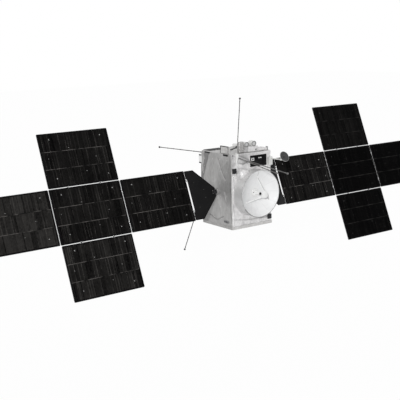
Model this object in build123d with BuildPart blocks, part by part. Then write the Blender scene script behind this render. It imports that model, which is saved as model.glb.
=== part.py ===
"""Outer-planet space probe: box body, big front dish, two five-panel solar wings, booms and roof instruments.

Millimetres. +X along the wings, the big dish looks along -Y, +Z up. The origin is the centre of the launch
ring's lower face.
"""

import os
from math import atan2, cos, degrees, radians, sin

from build123d import *

os.makedirs("parts", exist_ok=True)


def save(builder, name):
    builder.part.label = name
    export_step(builder.part, f"parts/{name}.step")


# Body box
BUS_X = 2480.0
BUS_Y = 2440.0
BUS_Z = 3640.0
WALL_T = 30.0
AXIS_RISE = 1700.0

# Launch ring
RING_R = 833.0
RING_H = 110.0
RING_WEB = 18.0
RING_LIP = 78.0
RING_LIP_T = 14.0
RING_BOLT_R = 5.5
RING_BOLT_PCD = 1570.0
RING_BOLTS = 24

# Heights that follow from the ring and the body
BASE_Z = RING_H
ROOF_Z = RING_H + BUS_Z
AXIS_Z = RING_H + AXIS_RISE
FRONT_Y = -BUS_Y / 2
REAR_Y = BUS_Y / 2
SIDE_X = BUS_X / 2
INNER_Z0 = BASE_Z + WALL_T
INNER_Z1 = ROOF_Z - WALL_T

# Engine and the core it hangs from
WELL_R = 330.0
WELL_TOP = 700.0
CORE_R = 640.0
BELL_EXIT_R = 260.0
BELL_THROAT_R = 60.0
BELL_EXIT_Z = 25.0
BELL_THROAT_Z = 440.0
BELL_T = 6.0
CHAMBER_R = 85.0

# Big dish
DRUM_R = 1150.0
DRUM_T = 12.0
DRUM_DEPTH = 664.0
RIM_T = 12.0
RIM_Y = FRONT_Y - DRUM_DEPTH - RIM_T
RIM_LIP = 30.0
RIM_STEP = 8.0
BOWL_R = DRUM_R - RIM_LIP
BOWL_DEPTH = 450.0
BOWL_T = 15.0
VERTEX_R = 200.0
DISH_DROP = 15.0
DISH_Z = AXIS_Z - DISH_DROP
FEED_R = 185.0
FEED_T = 30.0
HORN_R = 95.0
HORN_TIP_R = 70.0
HORN_L = 370.0
HORN_WALL = 10.0
SUB_R = 105.0
SUB_T = 45.0
SUB_CROWN = 40.0
SUB_OUT = 250.0
SUB_Y = RIM_Y - SUB_OUT
STRUT_R = 20.0
STRUT_FOOT_R = 800.0
STRUT_ANGLES = (90.0, 210.0, 330.0)
PAD_T = 8.0
PAD_AIR = 0.8

# Front recess
RECESS_X = (-92.0, 938.0)
RECESS_DROP = 164.0
RECESS_TALL = 555.0
RECESS_Z = (ROOF_Z - RECESS_DROP - RECESS_TALL, ROOF_Z - RECESS_DROP)
RECESS_DEPTH = 350.0
RECESS_T = 10.0

# Foil bulge above the dish and the fins beside it
BULGE_TURN = 124.4
BULGE_SINK = 53.0
BULGE_R = 360.0
BULGE_OUT = 420.0
BULGE_AIR = 1.0
BULGE_TAPER = 12.0
BULGE_ROUND = 190.0
FIN_X = -945.0
FIN_T = 30.0
FIN_OUT = 190.0
FIN_RISE = 40.0
FIN_BAND = 170.0
FIN_TALL = 560.0
CHEEK_T = 35.0
CHEEK_OUT = 230.0
CHEEK_TALL = 450.0
CHEEK_DROP = 225.0

# Roof block, wall covers, base skirt and thruster pods
BLOCK_X = -505.0
BLOCK_W = 320.0
BLOCK_D = 200.0
BLOCK_H = 540.0
BLOCK_CORNER = 60.0
BLOCK_ROUND = 45.0
EYE_INSET = 160.0
EYE_DROP = 810.0
EYE_LIFT = 308.0
EYE_W = 232.0
EYE_H = 240.0
EYE_T = 40.0
VENT_LIFT = 288.0
RADIATOR_RISE = 700.0
SKIRT_T = 15.0
SKIRT_DROP = 50.0
SKIRT_RISE = 100.0
SKIRT_AIR = 1.0
POD_INSET = 330.0
POD_H = 45.0
NOZZLE_H = 45.0

# Wings
TILT = 22.3
PANEL_L = 3487.0
PANEL_W = 2447.0
PANEL_T = 30.0
PANEL_GAP = 75.0
YOKE_GAP = 115.0
SIDE_INSET = 15.0
ROOT_X = 1430.0
YOKE_START = 1500.0
YOKE_STRAIGHT = 430.0
YOKE_TIP_W = 400.0
YOKE_AIR = 10.0
INNER_HINGE_X = 2839.0
STACK_AIR = 10.0
ROOT_OFFSET = 28.0
SIDE_OFFSET = (PANEL_T + STACK_AIR) / 2
FOLD_OFFSET = PANEL_T + STACK_AIR
KNUCKLE_R = 12.0
HINGE_PIN_R = 6.0
PIN_FIT = 0.05
KNUCKLE_W = 20.0
CENTRE_KNUCKLE_W = 36.0
KNUCKLE_SHAKE = 3.0
LUG_FOOT = 11.0
MAIN_HINGE_Y = 0.31 * PANEL_W
SIDE_HINGE_X = 0.232 * PANEL_L

# Wing drive
DRIVE_R = 170.0
DRIVE_L = 70.0
SHAFT_R = 50.0
SHAFT_L = 60.0
DRIVE_AIR = 5.0
HUB_R = 120.0
HUB_T = 30.0
EAR_R = 30.0
EAR_T = 30.0
EAR_GAP = 96.0
ROOT_PIN_R = 14.0
YOKE_TIP_X = SIDE_X + DRIVE_L + YOKE_AIR
TONGUE_R = 27.0
TONGUE_W = 86.0

# Booms
BOOM_R = 20.0
BOOM_PIN_R = 8.0
BOOM_TIP_R = 50.0
BOOM_STAND = 75.0
BOOM_EAR_T = 10.0
BOOM_TONGUE_W = 26.0
BOOM_SHAKE = 3.0
BOOM_EAR_R = 24.0
BOOM_NECK = 46.0
BOOM_FOOT = 150.0
BOOM_FOOT_T = 12.0

# Small dish
ARM_BASE_INSET = 135.0
ARM_BASE_DROP = 527.0
ARM_BASE_OUT = 120.0
ARM_START = (SIDE_X - ARM_BASE_INSET, FRONT_Y - ARM_BASE_OUT, ROOF_Z - 405.0)
ARM_END = (SIDE_X + 50.0, FRONT_Y - 684.0, ROOF_Z - 420.0)
ARM_R = 32.0
HEAD_R = 45.0
HEAD_SHAFT_R = 20.0
TILT_FORWARD = 110.0
TILT_RISE = 97.0
TILT_PIN_R = 12.0
SMALL_R = 255.0
SMALL_VERTEX_R = 105.0
SMALL_STAND = 104.0
SMALL_DEPTH = 62.0
SMALL_T = 10.0
SMALL_TILT = 28.0

# Body walls: name, centre x, y, z, size x, y, z
INNER_Z = INNER_Z1 - INNER_Z0
MID_Z = (INNER_Z0 + INNER_Z1) / 2
PLAIN_WALLS = (
    ("top_deck", 0.0, 0.0, ROOF_Z - WALL_T / 2, BUS_X, BUS_Y, WALL_T),
    ("rear_wall", 0.0, REAR_Y - WALL_T / 2, MID_Z, BUS_X - 2 * WALL_T, WALL_T, INNER_Z),
    ("left_wall", WALL_T / 2 - SIDE_X, 0.0, MID_Z, WALL_T, BUS_Y, INNER_Z),
    ("right_wall", SIDE_X - WALL_T / 2, 0.0, MID_Z, WALL_T, BUS_Y, INNER_Z),
)
for name, x, y, z, dx, dy, dz in PLAIN_WALLS:
    with BuildPart() as wall:
        with Locations((x, y, z)):
            Box(dx, dy, dz)
    save(wall, name)

# Bottom deck with the round opening for the engine
with BuildPart() as bottom_deck:
    with BuildSketch(Plane.XY.offset(BASE_Z)):
        Rectangle(BUS_X, BUS_Y)
        Circle(WELL_R, mode=Mode.SUBTRACT)
    extrude(amount=WALL_T)
save(bottom_deck, "bottom_deck")

# Front wall with the recess opening
RECESS_W = RECESS_X[1] - RECESS_X[0]
RECESS_H = RECESS_Z[1] - RECESS_Z[0]
RECESS_MID_X = (RECESS_X[0] + RECESS_X[1]) / 2
RECESS_MID_Z = (RECESS_Z[0] + RECESS_Z[1]) / 2
FRONT_FACE = Plane(origin=(0, FRONT_Y, 0), x_dir=(1, 0, 0), z_dir=(0, -1, 0))
with BuildPart() as front_wall:
    with BuildSketch(FRONT_FACE):
        with Locations((0, MID_Z)):
            Rectangle(BUS_X - 2 * WALL_T, INNER_Z)
        with Locations((RECESS_MID_X, RECESS_MID_Z)):
            Rectangle(RECESS_W, RECESS_H, mode=Mode.SUBTRACT)
    extrude(amount=-WALL_T)
save(front_wall, "front_wall")

# Liner of the recess, a box open to the front
with BuildPart() as recess_liner:
    with BuildSketch(FRONT_FACE):
        with Locations((RECESS_MID_X, RECESS_MID_Z)):
            Rectangle(RECESS_W, RECESS_H)
    extrude(amount=-RECESS_DEPTH)
    with BuildSketch(FRONT_FACE):
        with Locations((RECESS_MID_X, RECESS_MID_Z)):
            Rectangle(RECESS_W - 2 * RECESS_T, RECESS_H - 2 * RECESS_T)
    extrude(amount=RECESS_T - RECESS_DEPTH, mode=Mode.SUBTRACT)
save(recess_liner, "recess_liner")

# Two sensor heads on the back of the recess: x, z, width, height, length, lens radius
SENSORS = (
    (RECESS_MID_X - 0.293 * RECESS_W, RECESS_MID_Z + 0.136 * RECESS_H, 190.0, 150.0, 280.0, 48.0),
    (RECESS_MID_X + 0.167 * RECESS_W, RECESS_MID_Z + 0.154 * RECESS_H, 220.0, 170.0, 250.0, 58.0),
)
RECESS_BACK = FRONT_FACE.offset(RECESS_T - RECESS_DEPTH)
with BuildPart() as recess_sensors:
    for x, z, width, height, length, lens_r in SENSORS:
        with BuildSketch(RECESS_BACK):
            with Locations((x, z)):
                Rectangle(width, height)
        extrude(amount=length)
        with BuildSketch(RECESS_BACK.offset(length)):
            with Locations((x, z)):
                Circle(lens_r)
        extrude(amount=-60.0, mode=Mode.SUBTRACT)
save(recess_sensors, "recess_sensors")

# Launch ring: a web with an inward lip at each end and a bolt circle in the lower lip
with BuildPart() as launch_ring:
    with BuildSketch(Plane.XZ):
        with BuildLine():
            Polyline(
                (RING_R - RING_LIP, 0),
                (RING_R, 0),
                (RING_R, RING_H),
                (RING_R - RING_LIP, RING_H),
                (RING_R - RING_LIP, RING_H - RING_LIP_T),
                (RING_R - RING_WEB, RING_H - RING_LIP_T),
                (RING_R - RING_WEB, RING_LIP_T),
                (RING_R - RING_LIP, RING_LIP_T),
                close=True,
            )
        make_face()
    revolve(axis=Axis.Z)
    with BuildSketch(Plane.XY):
        with PolarLocations(RING_BOLT_PCD / 2, RING_BOLTS):
            Circle(RING_BOLT_R)
    extrude(amount=RING_LIP_T, mode=Mode.SUBTRACT)
save(launch_ring, "launch_ring")

# Core block: tanks and central tube as one plain mass, with the well that holds the engine
with BuildPart() as core_block:
    with BuildSketch(Plane.XY.offset(INNER_Z0)):
        Circle(CORE_R)
    extrude(amount=INNER_Z)
    with BuildSketch(Plane.XY.offset(INNER_Z0)):
        Circle(WELL_R)
    extrude(amount=WELL_TOP - INNER_Z0, mode=Mode.SUBTRACT)
save(core_block, "core_block")

# Main engine: bell shell on a chamber that bolts to the top of the well
BELL_MID_R = BELL_THROAT_R + 0.68 * (BELL_EXIT_R - BELL_THROAT_R)
BELL_MID_Z = (BELL_EXIT_Z + BELL_THROAT_Z) / 2
with BuildPart() as main_engine:
    with BuildSketch(Plane.XZ):
        with BuildLine():
            ThreePointArc(
                (BELL_THROAT_R, BELL_THROAT_Z), (BELL_MID_R, BELL_MID_Z), (BELL_EXIT_R, BELL_EXIT_Z)
            )
            Line((BELL_EXIT_R, BELL_EXIT_Z), (BELL_EXIT_R + BELL_T, BELL_EXIT_Z))
            ThreePointArc(
                (BELL_EXIT_R + BELL_T, BELL_EXIT_Z),
                (BELL_MID_R + BELL_T, BELL_MID_Z),
                (BELL_THROAT_R + BELL_T, BELL_THROAT_Z),
            )
            Polyline(
                (BELL_THROAT_R + BELL_T, BELL_THROAT_Z),
                (CHAMBER_R, BELL_THROAT_Z + 70),
                (CHAMBER_R, WELL_TOP - 40),
                (CHAMBER_R + 90, WELL_TOP - 40),
                (CHAMBER_R + 90, WELL_TOP),
                (0, WELL_TOP),
                (0, BELL_THROAT_Z + 60),
                (BELL_THROAT_R, BELL_THROAT_Z),
            )
        make_face()
    revolve(axis=Axis.Z)
save(main_engine, "main_engine")

# Big dish. Each piece turns about the dish axis, drawn with radius across and height along +Y
DISH_PLANE = Plane(origin=(0, 0, DISH_Z), x_dir=(1, 0, 0), z_dir=(0, 0, 1))
DISH_AXIS = Axis((0, 0, DISH_Z), (0, 1, 0))
BOWL_Y = RIM_Y + BOWL_DEPTH
with BuildPart() as dish_drum:
    with BuildSketch(DISH_PLANE):
        with BuildLine():
            Polyline(
                (DRUM_R - DRUM_T, FRONT_Y),
                (DRUM_R, FRONT_Y),
                (DRUM_R, RIM_Y + RIM_T),
                (DRUM_R - DRUM_T, RIM_Y + RIM_T),
                close=True,
            )
        make_face()
    revolve(axis=DISH_AXIS)
save(dish_drum, "dish_drum")

with BuildPart() as dish_reflector:
    with BuildSketch(DISH_PLANE):
        with BuildLine():
            Line((0, BOWL_Y), (VERTEX_R, BOWL_Y))
            Bezier((VERTEX_R, BOWL_Y), ((VERTEX_R + BOWL_R) / 2, BOWL_Y), (BOWL_R, RIM_Y))
            Polyline(
                (BOWL_R, RIM_Y),
                (DRUM_R, RIM_Y),
                (DRUM_R, RIM_Y + RIM_T),
                (BOWL_R + RIM_STEP, RIM_Y + RIM_T),
                (BOWL_R, RIM_Y + RIM_T + BOWL_T),
            )
            Bezier(
                (BOWL_R, RIM_Y + RIM_T + BOWL_T),
                ((VERTEX_R + BOWL_R) / 2, BOWL_Y + BOWL_T),
                (VERTEX_R, BOWL_Y + BOWL_T),
            )
            Polyline((VERTEX_R, BOWL_Y + BOWL_T), (0, BOWL_Y + BOWL_T), (0, BOWL_Y))
        make_face()
    revolve(axis=DISH_AXIS)
save(dish_reflector, "dish_reflector")

# Hub between the front wall and the back of the reflector
with BuildPart() as dish_hub:
    with BuildSketch(FRONT_FACE):
        with Locations((0, DISH_Z)):
            Circle(VERTEX_R - 10.0)
    extrude(amount=FRONT_Y - BOWL_Y - BOWL_T)
save(dish_hub, "dish_hub")

with BuildPart() as dish_feed:
    with BuildSketch(DISH_PLANE):
        with BuildLine():
            Polyline(
                (0, BOWL_Y),
                (FEED_R, BOWL_Y),
                (FEED_R, BOWL_Y - FEED_T),
                (HORN_R, BOWL_Y - FEED_T),
                (HORN_TIP_R, BOWL_Y - FEED_T - HORN_L),
                (HORN_TIP_R - HORN_WALL, BOWL_Y - FEED_T - HORN_L),
                (0, BOWL_Y - FEED_T - HORN_L / 2),
                close=True,
            )
        make_face()
    revolve(axis=DISH_AXIS)
save(dish_feed, "dish_feed")

with BuildPart() as subreflector:
    with BuildSketch(DISH_PLANE):
        with BuildLine():
            Line((0, SUB_Y - SUB_T), (SUB_R, SUB_Y - SUB_T))
            Line((SUB_R, SUB_Y - SUB_T), (SUB_R, SUB_Y))
            TangentArc((0, SUB_Y + SUB_CROWN), (SUB_R, SUB_Y), tangent=(1, 0))
            Line((0, SUB_Y + SUB_CROWN), (0, SUB_Y - SUB_T))
        make_face()
    revolve(axis=DISH_AXIS)
save(subreflector, "subreflector")

# Tripod: three struts from pads on the bowl to the back plate of the subreflector
BOWL_SPAN = BOWL_R - VERTEX_R
FOOT_Y = BOWL_Y - BOWL_DEPTH * ((STRUT_FOOT_R - VERTEX_R) / BOWL_SPAN) ** 2
FOOT_SLOPE = 2 * BOWL_DEPTH * (STRUT_FOOT_R - VERTEX_R) / BOWL_SPAN**2
HEAD_PLATE_T = 15.0
HEAD_PLATE_R = SUB_R + 60.0
with BuildPart() as dish_tripod:
    with BuildSketch(FRONT_FACE.offset(FRONT_Y - SUB_Y + SUB_T)):
        with Locations((0, DISH_Z)):
            Circle(HEAD_PLATE_R)
    extrude(amount=HEAD_PLATE_T)
    for angle in STRUT_ANGLES:
        out_x = cos(radians(angle))
        out_z = sin(radians(angle))
        normal = Vector(-FOOT_SLOPE * out_x, -1, -FOOT_SLOPE * out_z).normalized()
        foot = Vector(STRUT_FOOT_R * out_x, FOOT_Y, DISH_Z + STRUT_FOOT_R * out_z) + normal * PAD_AIR
        head_r = SUB_R + 45.0
        head = Vector(head_r * out_x, SUB_Y - SUB_T - HEAD_PLATE_T / 2, DISH_Z + head_r * out_z)
        with BuildSketch(Plane(origin=foot, z_dir=normal)):
            Circle(STRUT_R * 2)
        extrude(amount=PAD_T)
        start = foot + normal * (PAD_T - 2.0)
        with BuildSketch(Plane(origin=start, z_dir=head - start)):
            Circle(STRUT_R)
        extrude(amount=(head - start).length)
save(dish_tripod, "dish_tripod")

# Foil bulge on the front wall, cut to the round of the drum
BULGE_REACH = DRUM_R - BULGE_SINK
with BuildPart() as foil_bulge:
    with BuildSketch(FRONT_FACE):
        with Locations((BULGE_REACH * cos(radians(BULGE_TURN)), DISH_Z + BULGE_REACH * sin(radians(BULGE_TURN)))):
            Circle(BULGE_R)
    extrude(amount=BULGE_OUT, taper=BULGE_TAPER)
    fillet(foil_bulge.faces().sort_by(Axis.Y)[0].edges(), BULGE_ROUND)
    with BuildSketch(FRONT_FACE):
        with Locations((0, DISH_Z)):
            Circle(DRUM_R + BULGE_AIR)
    extrude(amount=BULGE_OUT * 2, mode=Mode.SUBTRACT)
save(foil_bulge, "foil_bulge")

# Roof instruments
# Tall block at the left end of the front roof edge, with rounded edges
INSTRUMENT_Y = FRONT_Y + 110.0
with BuildPart() as tall_block:
    with BuildSketch(Plane.XY.offset(ROOF_Z)):
        with Locations((BLOCK_X, INSTRUMENT_Y + BLOCK_D / 2)):
            RectangleRounded(BLOCK_W, BLOCK_D, BLOCK_CORNER)
    extrude(amount=BLOCK_H)
    fillet(tall_block.faces().sort_by(Axis.Z)[-1].edges(), BLOCK_ROUND)
save(tall_block, "tall_block")

# Plain boxes standing on the roof: name, low x, high x, low y, high y, height
BENCH_H = 270.0
ROOF_BOXES = (
    ("bench", -344.0, 500.0, INSTRUMENT_Y, INSTRUMENT_Y + 310.0, BENCH_H),
    ("low_box", 500.0, 1090.0, INSTRUMENT_Y, INSTRUMENT_Y + 510.0, 130.0),
    ("edge_post", 1090.0, 1140.0, INSTRUMENT_Y, INSTRUMENT_Y + 120.0, 170.0),
    ("edge_box", -1215.0, -1135.0, -970.0, -330.0, 370.0),
    ("roof_plate", -1130.0, -170.0, 700.0, 1190.0, 20.0),
)
for name, x0, x1, y0, y1, height in ROOF_BOXES:
    with BuildPart() as roof_box:
        with Locations(((x0 + x1) / 2, (y0 + y1) / 2, ROOF_Z + height / 2)):
            Box(x1 - x0, y1 - y0, height)
        if name == "bench":
            with BuildSketch(Plane(origin=(0, y0, 0), x_dir=(1, 0, 0), z_dir=(0, -1, 0))):
                with Locations((370.0, ROOF_Z + BENCH_H / 3)):
                    Circle(40.0)
            extrude(amount=-100.0, mode=Mode.SUBTRACT)
    save(roof_box, name)

# Telescope tubes on the bench, looking forward: x, radius, length, wall
BENCH_TOP = ROOF_Z + BENCH_H
TUBES = ((-200.0, 115.0, 330.0, 8.0), (250.0, 125.0, 330.0, 9.0))
with BuildPart() as telescopes:
    for x, radius, length, wall in TUBES:
        tube_face = Plane(origin=(x, INSTRUMENT_Y - 20.0, BENCH_TOP + radius), x_dir=(1, 0, 0), z_dir=(0, -1, 0))
        with BuildSketch(tube_face):
            Circle(radius)
            with Locations((0, -radius / 2)):
                Rectangle(radius, radius)
        extrude(amount=-length)
        with BuildSketch(tube_face):
            Circle(radius - wall)
        extrude(amount=-length * 0.7, mode=Mode.SUBTRACT)
save(telescopes, "telescopes")

# Flat covers on the walls: outer face plane, centre across, centre height, width, height, thickness
LEFT_FACE = Plane(origin=(-SIDE_X, 0, 0), x_dir=(0, -1, 0), z_dir=(-1, 0, 0))
REAR_FACE = Plane(origin=(0, REAR_Y, 0), x_dir=(-1, 0, 0), z_dir=(0, 1, 0))
COVERS = (
    ("black_sensors", FRONT_FACE, EYE_INSET - SIDE_X, ROOF_Z - EYE_DROP, EYE_W, EYE_H, EYE_T),
    ("black_sensors", FRONT_FACE, SIDE_X - EYE_INSET, BASE_Z + EYE_LIFT, EYE_W, EYE_H, EYE_T),
    ("wall_covers", LEFT_FACE, -710.0, ROOF_Z - 60.0, 420.0, 60.0, 22.0),
    ("wall_covers", LEFT_FACE, 770.0, ROOF_Z - 65.0, 340.0, 90.0, 22.0),
    ("vent_plate", LEFT_FACE, 740.0, BASE_Z + VENT_LIFT, 390.0, 110.0, 16.0),
    ("rear_radiator", REAR_FACE, 0.0, AXIS_Z + RADIATOR_RISE, 1500.0, 1400.0, 25.0),
)
for group in ("black_sensors", "wall_covers", "vent_plate", "rear_radiator"):
    with BuildPart() as covers:
        for name, face, across, height, width, tall, thick in COVERS:
            if name == group:
                with BuildSketch(face):
                    with Locations((across, height)):
                        Rectangle(width, tall)
                extrude(amount=thick)
    save(covers, group)

# Skirt around the foot of the body, hanging a little below the bottom deck
SKIRT_TALL = SKIRT_DROP + SKIRT_RISE
SKIRT_MID_Z = BASE_Z + (SKIRT_RISE - SKIRT_DROP) / 2
with BuildPart() as base_skirt:
    for side in (-1, 1):
        with Locations((0, side * (REAR_Y + SKIRT_T / 2), SKIRT_MID_Z)):
            Box(BUS_X + 2 * SKIRT_T, SKIRT_T, SKIRT_TALL)
        with Locations((side * (SIDE_X + SKIRT_T / 2), 0, SKIRT_MID_Z)):
            Box(SKIRT_T, BUS_Y - 2 * SKIRT_AIR, SKIRT_TALL)
save(base_skirt, "base_skirt")

# Thruster pods under the four bottom corners, each with two nozzles
POD_X = SIDE_X - POD_INSET
POD_Y = REAR_Y - POD_INSET
with BuildPart() as thruster_pods:
    with BuildSketch(Plane.XY.offset(BASE_Z)):
        with GridLocations(2 * POD_X, 2 * POD_Y, 2, 2):
            Rectangle(160.0, 120.0)
    extrude(amount=-POD_H)
    with BuildSketch(Plane.XY.offset(BASE_Z - POD_H)):
        with GridLocations(2 * POD_X, 2 * POD_Y, 2, 2):
            with GridLocations(80.0, 0, 2, 1):
                Circle(16.0)
    extrude(amount=-NOZZLE_H, taper=-14)
save(thruster_pods, "thruster_pods")

# Booms: name, hinge x, wall sign (-1 front, 1 rear), hinge height, tip x, y, z
BOOMS = (
    ("rear_boom", -1160.0, 1, 3630.0, -1160.0, 5279.0, 3514.0),
    ("down_boom", -1029.0, 1, 1924.0, -1029.0, 3329.0, -1871.0),
    ("up_boom", 1059.0, 1, 3200.0, 1329.0, 1295.0, 6191.0),
    ("front_boom_a", -848.0, -1, 3560.0, -848.0, -4112.0, 3151.0),
    ("front_boom_b", -202.0, -1, 3340.0, -202.0, -4126.0, 3066.0),
)
EAR_AT = BOOM_TONGUE_W / 2 + BOOM_SHAKE
for name, hinge_x, wall_sign, hinge_z, tip_x, tip_y, tip_z in BOOMS:
    hinge = Vector(hinge_x, wall_sign * (REAR_Y + BOOM_STAND), hinge_z)
    along = Vector(tip_x, tip_y, tip_z) - hinge
    with BuildPart() as boom:
        with BuildSketch(Plane(origin=hinge, x_dir=(0, 1, 0), z_dir=(1, 0, 0))):
            Circle(BOOM_EAR_R - 2.0)
        extrude(amount=BOOM_TONGUE_W / 2, both=True)
        with BuildSketch(Plane(origin=hinge, x_dir=(1, 0, 0), z_dir=along)):
            Rectangle(BOOM_TONGUE_W, BOOM_R * 1.6)
        extrude(amount=BOOM_NECK + 6.0)
        with BuildSketch(Plane(origin=hinge + along.normalized() * BOOM_NECK, z_dir=along)):
            Circle(BOOM_R)
        extrude(amount=along.length - BOOM_NECK - BOOM_TIP_R)
        with Locations(Vector(tip_x, tip_y, tip_z) - along.normalized() * BOOM_TIP_R):
            Sphere(BOOM_TIP_R)
        with BuildSketch(Plane(origin=hinge, x_dir=(0, 1, 0), z_dir=(1, 0, 0))):
            Circle(BOOM_PIN_R)
        extrude(amount=EAR_AT + BOOM_EAR_T + 4.0, both=True)
    save(boom, name)

with BuildPart() as boom_brackets:
    for name, hinge_x, wall_sign, hinge_z, tip_x, tip_y, tip_z in BOOMS:
        wall_y = wall_sign * REAR_Y
        with Locations((hinge_x, wall_y + wall_sign * BOOM_FOOT_T / 2, hinge_z)):
            Box(BOOM_FOOT * 0.8, BOOM_FOOT_T, BOOM_FOOT)
        for ear_side in (-1, 1):
            ear_x = hinge_x + ear_side * (EAR_AT + BOOM_EAR_T / 2)
            ear_plane = Plane(origin=(ear_x, wall_y, hinge_z), x_dir=(0, wall_sign, 0), z_dir=(wall_sign, 0, 0))
            with BuildSketch(ear_plane):
                with Locations((BOOM_STAND / 2, 0)):
                    Rectangle(BOOM_STAND, 2 * BOOM_EAR_R)
                with Locations((BOOM_STAND, 0)):
                    Circle(BOOM_EAR_R)
                    Circle(BOOM_PIN_R + PIN_FIT, mode=Mode.SUBTRACT)
            extrude(amount=BOOM_EAR_T / 2, both=True)
save(boom_brackets, "boom_brackets")

# Gusset fin beside the upper front boom, and the cheek plate on the left rear edge
with BuildPart() as edge_fins:
    with BuildSketch(Plane(origin=(FIN_X, FRONT_Y, ROOF_Z + FIN_RISE), x_dir=(0, -1, 0), z_dir=(-1, 0, 0))):
        with BuildLine():
            Polyline((0, -FIN_TALL), (FIN_OUT, -FIN_BAND), (FIN_OUT, 0), (0, 0), close=True)
        make_face()
    extrude(amount=FIN_T)
    with BuildSketch(Plane(origin=(CHEEK_T - SIDE_X, REAR_Y, 0), x_dir=(0, 1, 0), z_dir=(1, 0, 0))):
        with Locations((CHEEK_OUT / 2, ROOF_Z - CHEEK_DROP - CHEEK_TALL / 2)):
            Rectangle(CHEEK_OUT, CHEEK_TALL)
    extrude(amount=-CHEEK_T)
save(edge_fins, "edge_fins")

# Small dish: fixed base with arm, turning head, tilting dish
ARM = Vector(*ARM_END) - Vector(*ARM_START)
HEAD_X, HEAD_Y0, HEAD_Z = ARM_END
with BuildPart() as small_dish_arm:
    with BuildSketch(FRONT_FACE):
        with Locations((SIDE_X - ARM_BASE_INSET, ROOF_Z - ARM_BASE_DROP)):
            Rectangle(250.0, 400.0)
    extrude(amount=ARM_BASE_OUT)
    with BuildSketch(Plane(origin=Vector(*ARM_START) - ARM.normalized() * 40.0, z_dir=ARM)):
        Circle(ARM_R)
    extrude(amount=ARM.length + 40.0)
    with Locations((HEAD_X, HEAD_Y0, HEAD_Z)):
        Cylinder(HEAD_R, 90.0)
        Cylinder(HEAD_SHAFT_R + PIN_FIT, 90.0, mode=Mode.SUBTRACT)
save(small_dish_arm, "small_dish_arm")

TILT_X = HEAD_X
TILT_Y = HEAD_Y0 - TILT_FORWARD
TILT_Z = HEAD_Z + TILT_RISE
with BuildPart() as small_dish_head:
    with Locations((HEAD_X, HEAD_Y0, HEAD_Z + 5.0)):
        Cylinder(HEAD_SHAFT_R, 100.0)
    with Locations((HEAD_X, HEAD_Y0 - TILT_FORWARD / 2 + 15.0, HEAD_Z + 56.0)):
        Box(130.0, TILT_FORWARD + 60.0, 12.0)
    for cheek in (-1, 1):
        with Locations((HEAD_X + cheek * 55.0, TILT_Y + 10.0, HEAD_Z + 92.0)):
            Box(20.0, 70.0, 70.0)
    with BuildSketch(Plane(origin=(HEAD_X - 70.0, TILT_Y, TILT_Z), z_dir=(1, 0, 0))):
        Circle(TILT_PIN_R + PIN_FIT)
    extrude(amount=140.0, mode=Mode.SUBTRACT)
save(small_dish_head, "small_dish_head")

SMALL_PLANE = Plane(
    origin=(TILT_X, TILT_Y, TILT_Z),
    x_dir=(1, 0, 0),
    z_dir=(0, -cos(radians(SMALL_TILT)), sin(radians(SMALL_TILT))),
)
SMALL_FLARE = -degrees(atan2(SMALL_R - SMALL_VERTEX_R, SMALL_DEPTH))
with BuildPart() as small_dish:
    with BuildSketch(Plane(origin=(TILT_X, TILT_Y, TILT_Z), z_dir=(1, 0, 0))):
        Circle(TILT_PIN_R)
    extrude(amount=68.0, both=True)
    with BuildSketch(Plane(origin=(TILT_X, TILT_Y, TILT_Z), z_dir=(1, 0, 0))):
        Circle(26.0)
    extrude(amount=40.0, both=True)
    with BuildSketch(SMALL_PLANE):
        Circle(24.0)
    extrude(amount=SMALL_STAND + SMALL_T / 2)
    with BuildSketch(SMALL_PLANE.offset(SMALL_STAND)):
        Circle(SMALL_VERTEX_R)
    extrude(amount=SMALL_DEPTH, taper=SMALL_FLARE)
    with BuildSketch(SMALL_PLANE.offset(SMALL_STAND + SMALL_T)):
        Circle(SMALL_VERTEX_R)
    extrude(amount=SMALL_DEPTH, taper=SMALL_FLARE, mode=Mode.SUBTRACT)
    with BuildSketch(SMALL_PLANE.offset(SMALL_STAND + SMALL_T / 2)):
        Circle(30.0)
    extrude(amount=SMALL_DEPTH)
save(small_dish, "small_dish")

# Wings. Local axes: x out from the body, y across the panels, z out of the cell face
CELL_NORMAL = Vector(0, -cos(radians(TILT)), sin(radians(TILT)))
FOLD_1_X = INNER_HINGE_X
FOLD_2_X = INNER_HINGE_X + YOKE_GAP / 2 + PANEL_L + PANEL_GAP / 2
FOLD_3_X = FOLD_2_X + PANEL_L + PANEL_GAP
CENTRE_X = (FOLD_2_X + FOLD_3_X) / 2
SIDE_HINGE_Y = (PANEL_W + PANEL_GAP) / 2
SIDE_Y = PANEL_W + PANEL_GAP

# Hinge rows across the wing: inner edge owner, outer edge owner, hinge x, gap, axis height
MAIN_HINGES = (
    ("yoke", "inner_panel", FOLD_1_X, YOKE_GAP, -ROOT_OFFSET),
    ("inner_panel", "centre_panel", FOLD_2_X, PANEL_GAP, FOLD_OFFSET),
    ("centre_panel", "outer_panel", FOLD_3_X, PANEL_GAP, -FOLD_OFFSET),
)
# Hinge rows along the wing: side panel, side of the centre panel, axis height
SIDE_HINGES = (("side_panel_a", 1, SIDE_OFFSET), ("side_panel_b", -1, -SIDE_OFFSET))
# Panels: name, centre x, centre y, length
PANELS = (
    ("inner_panel", (FOLD_1_X + YOKE_GAP / 2 + FOLD_2_X - PANEL_GAP / 2) / 2, 0.0, PANEL_L),
    ("centre_panel", CENTRE_X, 0.0, PANEL_L),
    ("outer_panel", FOLD_3_X + (PANEL_GAP + PANEL_L) / 2, 0.0, PANEL_L),
    ("side_panel_a", CENTRE_X, SIDE_Y, PANEL_L - 2 * SIDE_INSET),
    ("side_panel_b", CENTRE_X, -SIDE_Y, PANEL_L - 2 * SIDE_INSET),
)
PAIR_AT = CENTRE_KNUCKLE_W / 2 + KNUCKLE_SHAKE + KNUCKLE_W / 2
PIN_HALF = PAIR_AT + KNUCKLE_W / 2 + 4.0


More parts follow.
